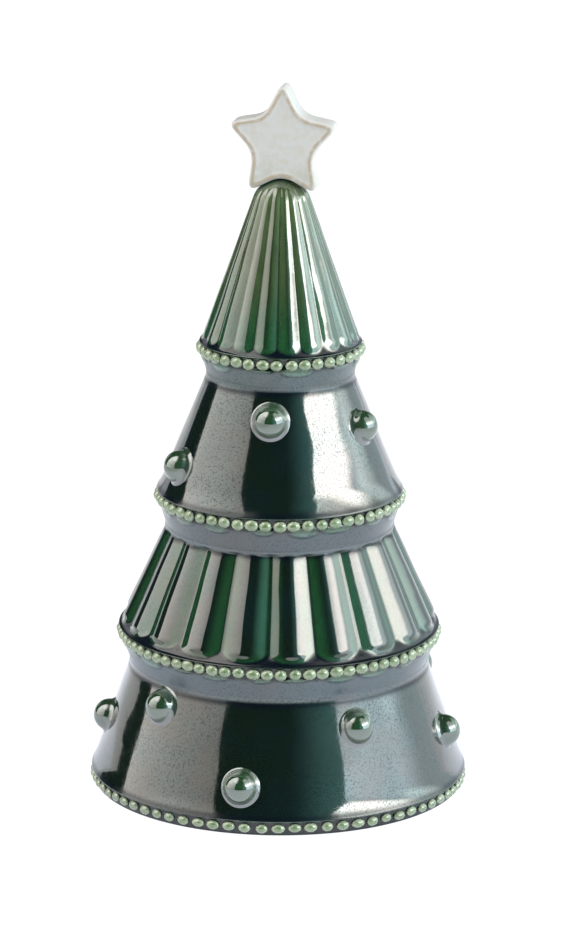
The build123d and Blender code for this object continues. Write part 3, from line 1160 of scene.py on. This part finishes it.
@dataclass
class TopTier(RibbedTier):
    """Ribbed cone with a flared rim and a closed tip under the star.

    Attributes:
        shoulder_radius: Radius at which the straight ribs end under the cap.
        shoulder_drop: Height of the cap's cone.
        shoulder_setback: Set-back of the rounding at the shoulder.
        shoulder_rounding: How far under the shoulder the straight ribs end.
        cap_radius: Radius of the cap's cone at its foot.
        flare_height: Height of the flare over the rim.
        flare_depth: How far the wall over the flare stands in from the rim.
        cap_thickness: Thickness of the closed tip.
    """

    shoulder_radius: float = 8.5
    shoulder_drop: float = 5.4
    shoulder_setback: float = 3.0
    shoulder_rounding: float = 1.2
    cap_radius: float = 8.07
    flare_height: float = 2.55
    flare_depth: float = 1.5
    cap_thickness: float = 17.0

    @property
    def cap_lean(self) -> float:
        """Fall of the cap for each millimetre out from the axis."""
        return self.shoulder_drop / self.cap_radius

    def rib_foot(self) -> tuple[float, float]:
        """Radius and height at which the ribs start, over the flare."""
        return self.rim_radius - self.flare_depth, self.rim_rise + self.flare_height

    def rib_head(self) -> tuple[float, float]:
        """Radius and height at which the straight ribs end, under the shoulder."""
        return self.shoulder_radius, self.height - self.shoulder_drop - self.shoulder_rounding

    def outside(self) -> list[Corner]:
        """Corners from the joint over the rim, up the ridges and over the cap to the tip.

        Returns:
            Rows of (radius, height over the joint, set-back).
        """
        foot, head = self.rib_foot(), self.rib_head()
        lean = (foot[0] - head[0]) / (head[1] - foot[1])
        radius = head[0] - lean * self.shoulder_rounding
        shoulder = (radius, self.height - self.shoulder_drop, self.shoulder_setback)
        return self.rim() + [(*foot, 2.4), shoulder, (0.0, self.height, 0.0)]

    def inside(self) -> list[Corner]:
        """Corners from the top of the hollow down to the collar.

        Returns:
            Rows of (radius, height over the joint, set-back).
        """
        foot, head = self.rib_foot(), self.rib_head()
        low = foot[0] - self.rib_depth - self.rib_wall
        high = head[0] - self.rib_depth - self.rib_wall
        top = self.height - self.cap_thickness
        share = (top - foot[1]) / (self.height - self.shoulder_drop - foot[1])
        mouth = (low + share * (high - low), top, 1.5)
        return [(0.0, top, 0.0), mouth, (low, foot[1], 2.0), *self.collar()]

    def section(self) -> Array:
        """Half section from the top of the hollow, under the collar and up to the tip.

        Returns:
            Rows of (radius, height over the joint, place), with places under 0 inside.
        """
        inner, outer = self.inside(), self.outside()
        path = rounded(inner + outer, closed=False)
        weight = np.where(path[:, 2] < len(inner) - 0.3, INSIDE_WEIGHT, 1.0)
        rows = resampled(path, self.rows, False, weight, TURN_WEIGHT)
        rows[:, 2] -= len(inner)
        return rows

    def skin(self) -> Skin:
        """Surface turned about the axis, closed by a pole at the tip and one in the hollow.

        Returns:
            One grid with two poles; its waves die out towards the axis.
        """
        section = self.section()
        radius, rise, place = (section[1:-1, axis, None] for axis in range(3))
        place = np.where(place < -0.3, HIDDEN_PLACE, place)
        bearing = np.linspace(0.0, FULL_TURN, self.columns, endpoint=False)[None]
        depth, ridge, groove = self.relief(bearing, place, rise, radius)
        outside = (place < HIDDEN_PLACE) & (rise > 0.3)
        waves = np.where(outside, self.unevenness(bearing, rise), 0.0) * np.minimum(radius / 15.0, 1.0)
        waves = waves + np.where(outside, self.hang(bearing, rise), 0.0)
        points = turned(radius - depth + waves, bearing, rise + self.floor)
        glaze = self.glaze(bearing, place, rise, ridge, groove)
        hollow = (np.array([[0.0, 0.0, section[0, 1] + self.floor]]), np.array([[0.0, 0.0, 1.0]]))
        tip = (np.array([[0.0, 0.0, section[-1, 1] + self.floor]]), np.array([[0.6, 0.2, 0.0]]))
        return Skin(points[None], glaze[None], first=hollow, last=tip)

    def glaze(self, bearing: Array, place: Array, rise: Array, ridge: Array, groove: Array) -> Array:
        """As on every tier, with brighter ridges and less pooling towards the tip.

        Args:
            bearing: Bearings in radians.
            place: Corners passed.
            rise: Heights over the joint.
            ridge: Share of thin glaze on the ribs.
            groove: Share of pooled glaze between them.

        Returns:
            The three glaze values of every point.
        """
        values = super().glaze(bearing, place, rise, ridge, groove)
        climb = eased(rise, 0.55 * self.height, 0.95 * self.height)
        values[..., 0] = np.clip(values[..., 0] + 0.16 + 0.26 * climb, 0.0, 1.0)
        values[..., 1] *= 1.0 - 0.3 * climb
        # The painted reflection on the necks stays on the lower half of the top tier
        neck_sheen = values[..., 2] * (rise < 0.5 * self.height)
        values[..., 2] = np.where(place == HIDDEN_PLACE, 1.0, neck_sheen)
        return values


@dataclass
class BeadRow(Piece):
    """A row of pressed beads round the band of one tier.

    Attributes:
        tier: Tier that carries it.
        gap: Gap between two beads of the row in the CAD, which sets their number.
        crowd: Share of its pitch that a bead fills.
        bearing: Bearing of the first bead.
        seed: Seed of their small differences.
        diameter: Height of a bead along the band.
        height: How far it stands out.
        sides: Points round a bead.
        root: How far the pole of a bead lies in the band.
    """

    suffix: ClassVar[str] = "drops"
    slot: ClassVar[Slot] = Slot.BEAD
    sharp: ClassVar[float] = 80.0
    tier: Tier
    gap: float
    crowd: float
    bearing: float
    seed: int
    diameter: float = 3.8
    height: float = 1.9
    sides: int = 10
    root: float = 0.5

    def skin(self) -> Skin:
        """Half balls (w r cos a, d r sin a, h), turned to stand out of the band at even bearings.

        Rings of share (h, r) lie on a circle, h² + r² = 1, from a little under the band
        to near the crown.

        Returns:
            One grid for each bead, with a pole at its crown and one in the band.
        """
        band = self.tier.band_radius
        count = int(FULL_TURN * band / (self.tier.bead + self.gap))
        dice = np.random.default_rng(self.seed)
        shares = np.array([(-0.15, 0.93), (0.1, 0.995), (0.42, 0.907), (0.72, 0.694), (0.93, 0.367)])
        angle = np.linspace(0.0, FULL_TURN, self.sides, endpoint=False)
        wide = 0.5 * self.crowd * FULL_TURN * band / count * dice.uniform(0.86, 1.06, (count, 1, 1))
        tall = 0.5 * self.diameter * dice.uniform(0.9, 1.03, (count, 1, 1))
        stand = self.height * dice.uniform(0.84, 0.99, (count, 1, 1))
        out = stand * shares[None, :, :1]
        lift = dice.uniform(-0.12, 0.22, (count, 1, 1))
        across = wide * shares[None, :, 1:] * np.cos(angle)
        up = tall * shares[None, :, 1:] * np.sin(angle) + lift
        start = radians(self.bearing) + FULL_TURN * np.arange(count)[:, None, None] / count
        start = start + dice.uniform(-0.06, 0.06, (count, 1, 1)) * self.diameter / band
        middle = self.tier.floor + self.tier.band_top - self.tier.bead / 2
        points = turned(band + out, start, middle + up)
        points = points + across[..., None] * np.stack(
            np.broadcast_arrays(np.cos(start), np.sin(start), 0.0), axis=-1)
        tint = np.broadcast_to(dice.uniform(0.0, 1.0, (count, 1, 1)), out.shape[:2] + (self.sides,))
        crown = np.broadcast_to(eased(shares[:, 0], 0.5, 0.95)[None, :, None], tint.shape)
        seam = np.broadcast_to((1.0 - eased(shares[:, 0], -0.1, 0.3))[None, :, None], tint.shape)
        glaze = np.stack((crown, seam, tint), axis=-1)
        tip = turned(band + stand[:, 0, 0], start[:, 0, 0], middle + lift[:, 0, 0])
        back = turned(np.full(count, band - self.root), start[:, 0, 0], middle + lift[:, 0, 0])
        tip_glaze = np.stack((np.ones(count), np.zeros(count), tint[:, 0, 0]), axis=-1)
        back_glaze = np.stack((np.zeros(count), np.ones(count), tint[:, 0, 0]), axis=-1)
        return Skin(points, glaze, first=(back, back_glaze), last=(tip, tip_glaze))


@dataclass
class Stud(Piece):
    """A round boss luted to a plain wall, with a meniscus of glaze round its foot.

    Attributes:
        tier: Tier that carries it.
        bearing: Bearing on that tier.
        rise_share: Height on the tier, as a share of the tier's height.
        diameter: Diameter of the boss.
        sides: Points round it.
        probe: How far over and under its middle the lean of the wall is read.
        flare_angle: Latitude at which the flare of glaze meets the ball.
        flare_rings: Rings of the flare.
        ball_rings: Rings of the ball from there to the crown.
        tint: Share of the crown's colour in the flanks.
    """

    suffix: ClassVar[str] = "boss"
    slot: ClassVar[Slot] = Slot.STUD
    sharp: ClassVar[float] = 80.0
    tier: Tier
    bearing: float
    rise_share: float
    diameter: float = 10.4
    sides: int = 40
    probe: float = 1.5
    flare_angle: float = 16.0
    flare_rings: int = 9
    ball_rings: int = 15
    tint: float = 0.3

    def skin(self) -> Skin:
        """Half ball carried over the wall: wall point at (a, b) plus h along the wall's normal.

        The ring of share (r, h) has a = R r cos t across the wall and b = R r sin t up it,
        so the foot follows the curved wall; a Bezier flare leads from the wall into the
        circle r = cos u, h = sin u.

        Returns:
            One grid, with a pole at the crown and one in the wall.
        """
        radius = self.diameter / 2
        rise = self.rise_share * self.tier.height
        wall = self.tier.wall_radius(np.array([rise - self.probe, rise, rise + self.probe]))
        lean = atan2(float(wall[0] - wall[2]), 2 * self.probe)
        t = np.linspace(0.0, 1.0, self.flare_rings)[:, None]
        meet = radians(self.flare_angle)
        lead = np.array([[1.31, -0.045], [1.035, 0.024], [cos(meet), sin(meet)]])
        flare = (1 - t) ** 2 * lead[0] + 2 * t * (1 - t) * lead[1] + t**2 * lead[2]
        climb = np.radians(np.linspace(self.flare_angle, 90.0, self.ball_rings))[1:-1, None]
        dome = np.concatenate((np.cos(climb), np.sin(climb)), axis=1)
        ball = np.concatenate(([[0.6, -0.2]], flare, dome))
        angle = np.linspace(0.0, FULL_TURN, self.sides, endpoint=False)[None]
        across = radius * ball[:, :1] * np.cos(angle)
        along = radius * ball[:, :1] * np.sin(angle)
        height = rise + along * cos(lean)
        distance = self.tier.wall_radius(height)
        bearing = radians(self.bearing)
        foot = turned(distance, bearing + across / distance, height + self.tier.floor)
        normal = np.array([sin(bearing) * cos(lean), -cos(bearing) * cos(lean), sin(lean)])
        flat = np.array([sin(bearing), -cos(bearing), 0.0]) * float(wall[1])
        flat = flat + np.array([0.0, 0.0, rise + self.tier.floor])
        side = np.array([cos(bearing), sin(bearing), 0.0])
        up = np.array([-sin(bearing) * sin(lean), cos(bearing) * sin(lean), cos(lean)])
        plane = flat + across[..., None] * side + along[..., None] * up
        free = eased(ball[:, 1], 0.0, 0.5)[:, None, None]
        points = foot * (1.0 - free) + plane * free + radius * ball[:, 1][:, None, None] * normal
        crown = np.broadcast_to(eased(ball[:, 1], 0.35, 0.9)[:, None], across.shape)
        seam = (1.0 - eased(ball[:, 1], 0.08, 0.3))[:, None] * (0.58 - 0.42 * np.sin(angle))
        glaze = np.stack((crown, seam, np.full(across.shape, self.tint)), axis=-1)
        back = ((flat - 0.3 * radius * normal)[None], np.array([[0.0, 1.0, self.tint]]))
        tip = ((flat + radius * normal)[None], np.array([[1.0, 0.0, self.tint]]))
        return Skin(points[None], glaze[None], first=back, last=tip)


@dataclass
class Star(Piece):
    """Thick five-pointed star that straddles the tip.

    Attributes:
        tip: Height of the tier's tip under it.
        cap_lean: Fall of the tier's cap for each millimetre out from the axis.
        points: Points of the star.
        tip_radius: Radius of the sharp points before they are rounded.
        notch_radius: Radius of the notches before they are rounded.
        width_share: Width as a share of that of a regular star.
        tip_setback: Set-back of the rounding at a point.
        notch_setback: Set-back of the rounding in a notch.
        thickness: Thickness of the slab.
        edge: Rounding of its edges.
        crest: Height of the crest round each face over the face.
        turn: Turn about the upright axis.
        aside: How far its middle stands beside the axis.
        seat: How far the lower notch, before it is rounded, sinks under the tip.
        cap_reach: Radius of the part that the tier's cap can meet.
        cap_overlap: How far that part may sink under the cap.
        face_rings: Rings across a face.
        crest_rings: Rings of a crest.
        edge_rings: Rings round an edge.
        flank_rings: Rings between the two edges.
    """

    slot: ClassVar[Slot] = Slot.STAR
    sharp: ClassVar[float] = 70.0
    tip: float
    cap_lean: float
    points: int = 5
    tip_radius: float = 19.8
    notch_radius: float = 10.3
    width_share: float = 0.955
    tip_setback: float = 4.15
    notch_setback: float = 4.4
    thickness: float = 8.5
    edge: float = 1.1
    crest: float = 0.28
    turn: float = -11.0
    aside: float = 0.8
    seat: float = 0.6
    cap_reach: float = 8.2
    cap_overlap: float = 0.2
    face_rings: int = 6
    crest_rings: int = 7
    edge_rings: int = 9
    flank_rings: int = 6

    def outline(self, inset: float) -> Array:
        """Rounded outline (across, up) with every side moved in by the inset.

        A corner P between sides of inward normals m and n moves to
        P + inset (m + n) / (1 + m.n), and the rounding of a point shrinks with it.

        Args:
            inset: How far the sides move in.

        Returns:
            Rows of points, as many for every inset.
        """
        angle = pi * np.arange(2 * self.points) / self.points
        is_tip = np.arange(2 * self.points) % 2 == 0
        reach = np.where(is_tip, self.tip_radius, self.notch_radius)
        corner = np.stack((-self.width_share * reach * np.sin(angle), reach * np.cos(angle)), axis=1)
        side = np.roll(corner, -1, axis=0) - corner
        side /= np.linalg.norm(side, axis=1, keepdims=True)
        after = np.stack((-side[:, 1], side[:, 0]), axis=1)
        before = np.roll(after, 1, axis=0)
        both = before + after
        moved = corner + inset * both / (1.0 + (before * after).sum(axis=1, keepdims=True))
        setback = np.where(is_tip, np.maximum(self.tip_setback - 1.5 * inset, 0.8), self.notch_setback)
        rows = [tuple(row) for row in np.column_stack((moved, setback))]
        return rounded(rows, closed=True, bends=17, runs=16)[:, :2]

    def skin(self) -> Skin:
        """Slab: rings of the outline at insets and depths that follow its edge, crest and face.

        Round the edge e the inset is e (1 - sin a) and the depth falls by e (1 - cos a);
        inside it a low crest leads down to the flat face, which is drawn in to the middle
        by shares. Points under the tier's cap are raised to it.

        Returns:
            One grid from the front to the back, with a pole in the middle of each face.
        """
        bend = np.linspace(0.0, 0.5 * pi, self.edge_rings)
        crest = self.edge + np.linspace(1.5, 0.15, self.crest_rings)
        face, flank = np.ones(self.face_rings), np.zeros(self.flank_rings)
        inset = np.concatenate((face * crest[0], crest, self.edge * (1 - np.sin(bend))))
        share = np.ones(inset.shape)
        share[:self.face_rings] = np.linspace(0.1, 0.9, self.face_rings)
        crest_drop = self.crest * eased(crest, self.edge + 0.3, self.edge + 1.4)
        drop = np.concatenate((face * self.crest, crest_drop, self.edge * (1 - np.cos(bend))))
        crest_break = 1.0 - eased(crest, self.edge + 0.15, self.edge + 0.75)
        broken = np.concatenate((face * 0.0, crest_break, 1.0 - eased(bend, 0.2, 0.75)))
        half = self.thickness / 2
        across_flank = np.linspace(half - self.edge, self.edge - half, self.flank_rings + 2)[1:-1]
        depth = np.concatenate((drop - half, -across_flank, (half - drop)[::-1]))
        inset = np.concatenate((inset, flank, inset[::-1]))
        share = np.concatenate((share, flank + 1.0, share[::-1]))
        broken = np.concatenate((broken, flank, broken[::-1]))
        flat = np.stack([self.outline(float(step)) for step in inset]) * share[:, None, None]
        across, up = flat[..., 0], flat[..., 1]
        through = np.broadcast_to(depth[:, None], across.shape)
        turn, middle = radians(self.turn), self.middle()
        x = self.aside + across * cos(turn) - through * sin(turn)
        y = across * sin(turn) + through * cos(turn)
        z = middle + up
        away = np.hypot(x, y)
        cap = self.tip - self.cap_lean * away - self.cap_overlap
        near = away < self.cap_reach
        green = (1.0 - eased(z - cap, 0.15, 1.6)) * near
        blush = 0.35 * (1.0 - eased(z, middle - 13.5, middle - 3.0))
        z = np.where(near, np.maximum(z, cap), z)
        points = np.stack((x, y, z), axis=-1)
        glaze = np.stack(np.broadcast_arrays(broken[:, None], green, blush), axis=-1)
        out = float(half - self.crest)
        front = np.array([[self.aside + out * sin(turn), -out * cos(turn), middle]])
        back = np.array([[self.aside - out * sin(turn), out * cos(turn), middle]])
        plain = np.zeros((1, 3))
        return Skin(points[None], glaze[None], first=(front, plain), last=(back, plain))

    def middle(self) -> float:
        """Height of the star's middle, with its lower notch seated on the tip."""
        return self.tip + self.notch_radius - self.seat


# Studio


@dataclass(frozen=True)
class Panel:
    """A bright panel of the studio, seen from the tree.

    Attributes:
        start: Bearing of its left edge, from the camera's side towards +X.
        end: Bearing of its right edge.
        low: Elevation of its lower edge.
        high: Elevation of its upper edge.
        light: Brightness.
        colour: Colour of its light.
        soft_start: Width of its left edge.
        soft_end: Width of its right edge.
        soft_low: Width of its lower edge.
        soft_high: Width of its upper edge.
        lean: Degrees that its left edge moves as the elevation grows.
        lean_low: Elevation at which the left edge starts to move.
        lean_reach: Elevation over which it moves.
        fade: Share of its light that is lost from the left edge to the right.
        sink: Share of its light that is lost towards the horizon.
        sink_ends: Elevations between which that light comes back.
    """

    start: float
    end: float
    low: float
    high: float
    light: float
    colour: Colour
    soft_start: float = 1.2
    soft_end: float = 1.2
    soft_low: float = 0.5
    soft_high: float = 5.0
    lean: float = 0.0
    lean_low: float = 0.0
    lean_reach: float = 12.0
    fade: float = 0.0
    sink: float = 0.0
    sink_ends: tuple[float, float] = (14.0, 30.0)

    def glow(self, desk: Desk, turn: Value, height: Value) -> bpy.types.NodeSocket:
        """Light that comes from a direction: the product of four smooth edges and the fade.

        Args:
            desk: Tree to lay the nodes in.
            turn: Bearing of the direction in radians.
            height: Its elevation in radians.

        Returns:
            Colour of the light.
        """
        lean_ends = (radians(self.lean_low), radians(self.lean_low + self.lean_reach))
        left = desk.span(height, lean_ends, radians(self.start), radians(self.start + self.lean))
        mask = desk.edge(desk.math("SUBTRACT", turn, left), 0.0, self.soft_start)
        mask = desk.times(mask, desk.edge(height, self.low, self.soft_low))
        for value, limit, soft in ((turn, self.end, self.soft_end), (height, self.high, self.soft_high)):
            mask = desk.times(mask, desk.rest(desk.edge(value, limit, soft)))
        dim = desk.span(turn, (radians(self.start), radians(self.end)), 1.0, 1.0 - self.fade)
        low, high = self.sink_ends
        dim = desk.times(dim, desk.span(height, (radians(low), radians(high)), 1.0 - self.sink, 1.0))
        full = tuple(self.light * share for share in self.colour)
        scaled = desk.add("ShaderNodeVectorMath", {0: full}, operation="SCALE")
        desk.feed(scaled.inputs["Scale"], desk.times(mask, dim))
        return scaled.outputs[0]


@dataclass
class Studio:
    """White floor, panels of soft light and the camera.

    Attributes:
        panels: Panels round the tree.
        floor_radius: Radius of the floor.
        floor_rings: Rings of points on it.
        floor_spokes: Points in each ring.
        floor_tint: Colour of its glow in the glaze, a painted reflection in pale lavender.
        ambient: Light from where no panel is.
        wrap: Bearing in radians from which the back panels count on past half a turn.
        distance: Distance from the camera to the axis along the floor.
        camera_height: Height of the camera over the floor.
        pitch: How far it looks down.
        roll: How far it leans to the left.
        aside: How far it stands beside the axis.
        lens: Focal length on the default sensor.
    """

    panels: tuple[Panel, ...] = (
        Panel(-109.5, -41.0, -12.0, 78.0, 2.9, (1.0, 0.98, 0.95), soft_high=14.0, fade=0.61, sink=0.35),
        Panel(46.3, 92.0, 18.3, 29.5, 6.9, (1.0, 0.99, 0.97), soft_end=30.0, soft_low=4.0, soft_high=9.0,
              lean=-10.0, lean_low=18.0),
        Panel(44.0, 98.0, -12.0, 17.3, 2.85, (0.84, 1.0, 1.1), soft_end=20.0, soft_high=6.0, fade=0.3),
        Panel(98.0, 146.0, -12.0, 19.0, 1.15, (0.84, 1.0, 1.08), soft_start=20.0, soft_end=8.0,
              soft_high=6.0, fade=0.4),
        Panel(88.0, 146.0, 10.0, 46.0, 1.7, (0.84, 1.0, 0.95), soft_start=24.0, soft_end=8.0, soft_low=5.0,
              soft_high=15.0, fade=0.7),
        Panel(40.0, 80.0, 29.5, 42.0, 2.6, (0.95, 1.0, 0.98), soft_start=1.5, soft_end=24.0, soft_low=9.0,
              soft_high=8.0),
        Panel(140.0, 190.0, -12.0, 24.0, 0.45, (0.90, 0.95, 1.08), soft_start=6.0, soft_end=20.0,
              soft_high=14.0, fade=0.2),
        Panel(208.0, 229.0, -12.0, 24.0, 0.6, (0.94, 0.97, 1.04), soft_start=20.0, soft_end=3.0,
              soft_high=14.0),
        Panel(25.0, 45.0, -5.0, 45.0, 0.5, (0.4, 0.93, 0.93), soft_start=38.0, soft_end=4.0,
              soft_high=15.0),
        Panel(-82.0, -32.0, 44.0, 70.0, 1.1, (1.0, 1.0, 0.98), soft_start=20.0, soft_end=24.0, soft_low=8.0,
              soft_high=10.0),
        Panel(38.0, 92.0, 44.0, 68.0, 1.1, (1.0, 1.0, 0.98), soft_start=24.0, soft_end=20.0, soft_low=8.0,
              soft_high=10.0),
    )
    floor_radius: float = 3200.0
    floor_rings: int = 24
    floor_spokes: int = 96
    floor_tint: Colour = (0.84, 0.90, 1.12)
    ambient: Colour = (0.012, 0.014, 0.016)
    wrap: float = -2.4
    distance: float = 1600.0
    camera_height: float = 537.8
    pitch: float = 15.245
    roll: float = 0.35
    aside: float = 0.34
    lens: float = 199.26

    def white_rays(self, desk: Desk) -> bpy.types.NodeSocket:
        """Share of a ray that sees the white of the studio.

        Args:
            desk: Tree to lay the nodes in.

        Returns:
            1 for a ray of one of the kinds, else 0.
        """
        path = desk.add("ShaderNodeLightPath")
        seen = path.outputs[Ray.CAMERA.value]
        for ray in (Ray.GLOSSY, Ray.TRANSMISSION):
            seen = desk.math("MAXIMUM", seen, path.outputs[ray.value])
        return seen

    def light(self) -> None:
        """World of panels, worked out from the bearing and elevation of each direction."""
        world = bpy.data.worlds.new("studio")
        world.use_nodes = True
        desk = Desk(world.node_tree)
        way = desk.add("ShaderNodeSeparateXYZ", {0: desk.add("ShaderNodeTexCoord").outputs["Generated"]})
        x, y, z = way.outputs
        bearing = desk.math("ARCTAN2", x, desk.times(y, -1.0))
        behind = desk.times(desk.math("LESS_THAN", bearing, self.wrap), FULL_TURN)
        round_back = desk.plus(bearing, behind)
        height = desk.math("ARCSINE", z)
        total: Value = self.ambient
        for panel in self.panels:
            glow = panel.glow(desk, round_back if panel.end > 180.0 else bearing, height)
            total = desk.add("ShaderNodeVectorMath", {0: total, 1: glow}).outputs[0]
        path = desk.add("ShaderNodeLightPath")
        seen = desk.mix(path.outputs[Ray.CAMERA.value], total, (1.0, 1.0, 1.0))
        glow = desk.add("ShaderNodeBackground", {"Color": seen, "Strength": 1.0})
        desk.add("ShaderNodeOutputWorld", {"Surface": glow.outputs[0]})
        bpy.context.scene.world = world

    def floor(self) -> None:
        """Disc (r sin b, -r cos b, 0) whose rings widen outwards, white to the camera, with a painted
        reflection of uneven glow in the glaze.
        """
        material, desk = blank("studio_floor")
        camera = desk.add("ShaderNodeLightPath").outputs[Ray.CAMERA.value]
        paint = desk.mix(camera, (0.88, 0.875, 0.88), (0.16, 0.16, 0.16))
        pale = desk.add("ShaderNodeBsdfDiffuse", {"Color": paint})
        place = desk.add("ShaderNodeTexCoord").outputs["Object"]
        away = desk.add("ShaderNodeVectorMath", {0: place}, operation="LENGTH").outputs["Value"]
        across = desk.add("ShaderNodeSeparateXYZ", {0: place}).outputs[0]
        # Painted reflection: in the glaze the floor glows brighter near the tree and on the +X side, and
        # hardly at all far out on the -X side
        near = desk.math("SUBTRACT", 0.5, desk.times(desk.step(away, 0.12, 0.45), 0.25))
        side = desk.line(desk.step(across, -0.4, 0.4), 0.36, 0.72)
        dark = desk.rest(desk.step(across, -0.25, -0.05))
        dark = desk.times(dark, desk.step(away, 0.22, 0.4))
        near = desk.times(near, desk.rest(desk.times(dark, 0.92)))
        level = desk.math("MAXIMUM", desk.times(near, side), desk.times(camera, 0.98))
        strength = desk.times(self.white_rays(desk), level)
        tint = desk.mix(camera, self.floor_tint, (1.0, 1.0, 1.0))
        white = desk.add("ShaderNodeEmission", {"Color": tint, "Strength": strength})
        both = desk.add("ShaderNodeAddShader", {0: pale.outputs[0], 1: white.outputs[0]})
        desk.add("ShaderNodeOutputMaterial", {"Surface": both.outputs[0]})
        share = np.linspace(0.04, 1.0, self.floor_rings)[:, None] ** 2
        bearing = np.linspace(0.0, FULL_TURN, self.floor_spokes, endpoint=False)[None]
        points = turned(self.floor_radius * share[::-1], bearing, np.zeros(share.shape))
        pole = (np.zeros((1, 3)), np.zeros((1, 3)))
        disc = Skin(points[None], np.zeros((1, *points.shape)), last=pole).make("studio_floor", material)

    def camera(self) -> None:
        """Long lens that looks a little down on the tree from the front."""
        data = bpy.data.cameras.new("camera")
        data.lens = self.lens
        data.clip_end = 100.0
        camera = bpy.data.objects.new("camera", data)
        camera.location = Vector((self.aside, -self.distance, self.camera_height)) * MM
        tilt = Matrix.Rotation(pi / 2 - radians(self.pitch), 3, "X")
        roll = Matrix.Rotation(radians(self.roll), 3, "Z")
        camera.rotation_euler = (tilt @ roll).to_euler()
        bpy.context.scene.collection.objects.link(camera)
        bpy.context.scene.camera = camera

    def build(self) -> None:
        """Sets up the view transform, the light, the floor and the camera."""
        bpy.context.scene.view_settings.view_transform = "Standard"
        self.light()
        self.floor()
        self.camera()


def tiers() -> tuple[BaseTier, RibbedTier, PlainTier, TopTier]:
    """The four castings.

    Returns:
        The castings from the bottom up.
    """
    base = BaseTier(
        node="base_tier", floor=0.0, height=40.6, seat_radius=0.0, neck_radius=47.5, rim_radius=60.3,
        rim_rise=4.65, lip_height=0.15, lip_depth=1.2, seed=11)
    lower = RibbedTier(
        node="lower_tier", floor=40.6, height=44.7, seat_radius=47.5, neck_radius=36.2, rim_radius=51.5,
        rim_rise=11.45, lip_height=0.15, lip_depth=1.3, seed=12, neck_sheen=0.22)
    upper = PlainTier(
        node="upper_tier", floor=85.3, height=49.3, seat_radius=36.2, neck_radius=23.3, rim_radius=39.4,
        rim_rise=11.35, lip_height=0.15, lip_depth=1.0, seed=13)
    top = TopTier(
        node="top_tier", floor=134.6, height=64.4, seat_radius=23.3, neck_radius=0.0, rim_radius=26.0,
        rim_rise=10.25, lip_height=0.15, lip_depth=0.9, seed=14, rib_depth=0.95, rib_bearing=-2.6,
        rib_end=2.6, rib_start=0.6, rib_land=0.5, rib_fade=5.0, rib_past=4.4, crown_share=0.2,
        ridge_thin=0.42)
    return base, lower, upper, top


def main() -> None:
    """Builds every piece in order, then the studio."""
    logging.basicConfig(level=logging.INFO, format="%(name)s %(message)s")
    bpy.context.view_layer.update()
    base, lower, upper, top = tiers()
    green = GreenGlaze().material()
    bead = DropGlaze("bead_glaze", (0.15, 0.27, 0.09), (0.66, 0.75, 0.53), (0.04, 0.09, 0.06)).material()
    boss = DropGlaze(
        "stud_glaze", (0.024, 0.085, 0.03), (0.05, 0.11, 0.055), (0.10, 0.11, 0.12), index=2.6).material()
    for tier in (base, lower, upper, top):
        tier.build(green)
    rows = (
        BeadRow("base_beads", base, 1.3, 0.86, 0.0, 21, diameter=3.1, height=1.5),
        BeadRow("lower_beads", lower, 0.55, 1.04, lower.rib_bearing, 22),
        BeadRow("upper_beads", upper, 0.6, 1.02, 0.0, 23),
        BeadRow("top_beads", top, 0.55, 1.02, top.rib_bearing, 24),
    )
    for row in rows:
        row.build(bead)
    upper_places = zip((-66.0, -6.5, 61.5, 139.0, 211.0), (0.44, 0.805, 0.712, 0.49, 0.753))
    base_places = zip((-88.5, -47.5, -12.0, 29.0, 76.0, 118.0, 158.0, 200.0, 240.0),
                      (0.514, 0.839, 0.356, 0.765, 0.494, 0.76, 0.4, 0.7, 0.36))
    for name, tier, places in (("upper_stud", upper, upper_places), ("base_stud", base, base_places)):
        for number, (bearing, share) in enumerate(places, start=1):
            Stud(f"{name}_{number}", tier, bearing, share).build(boss)
    Star("star", top.floor + top.height, top.cap_lean).build(StarGlaze().material())
    Studio().build()


if __name__ == "__main__":
    main()
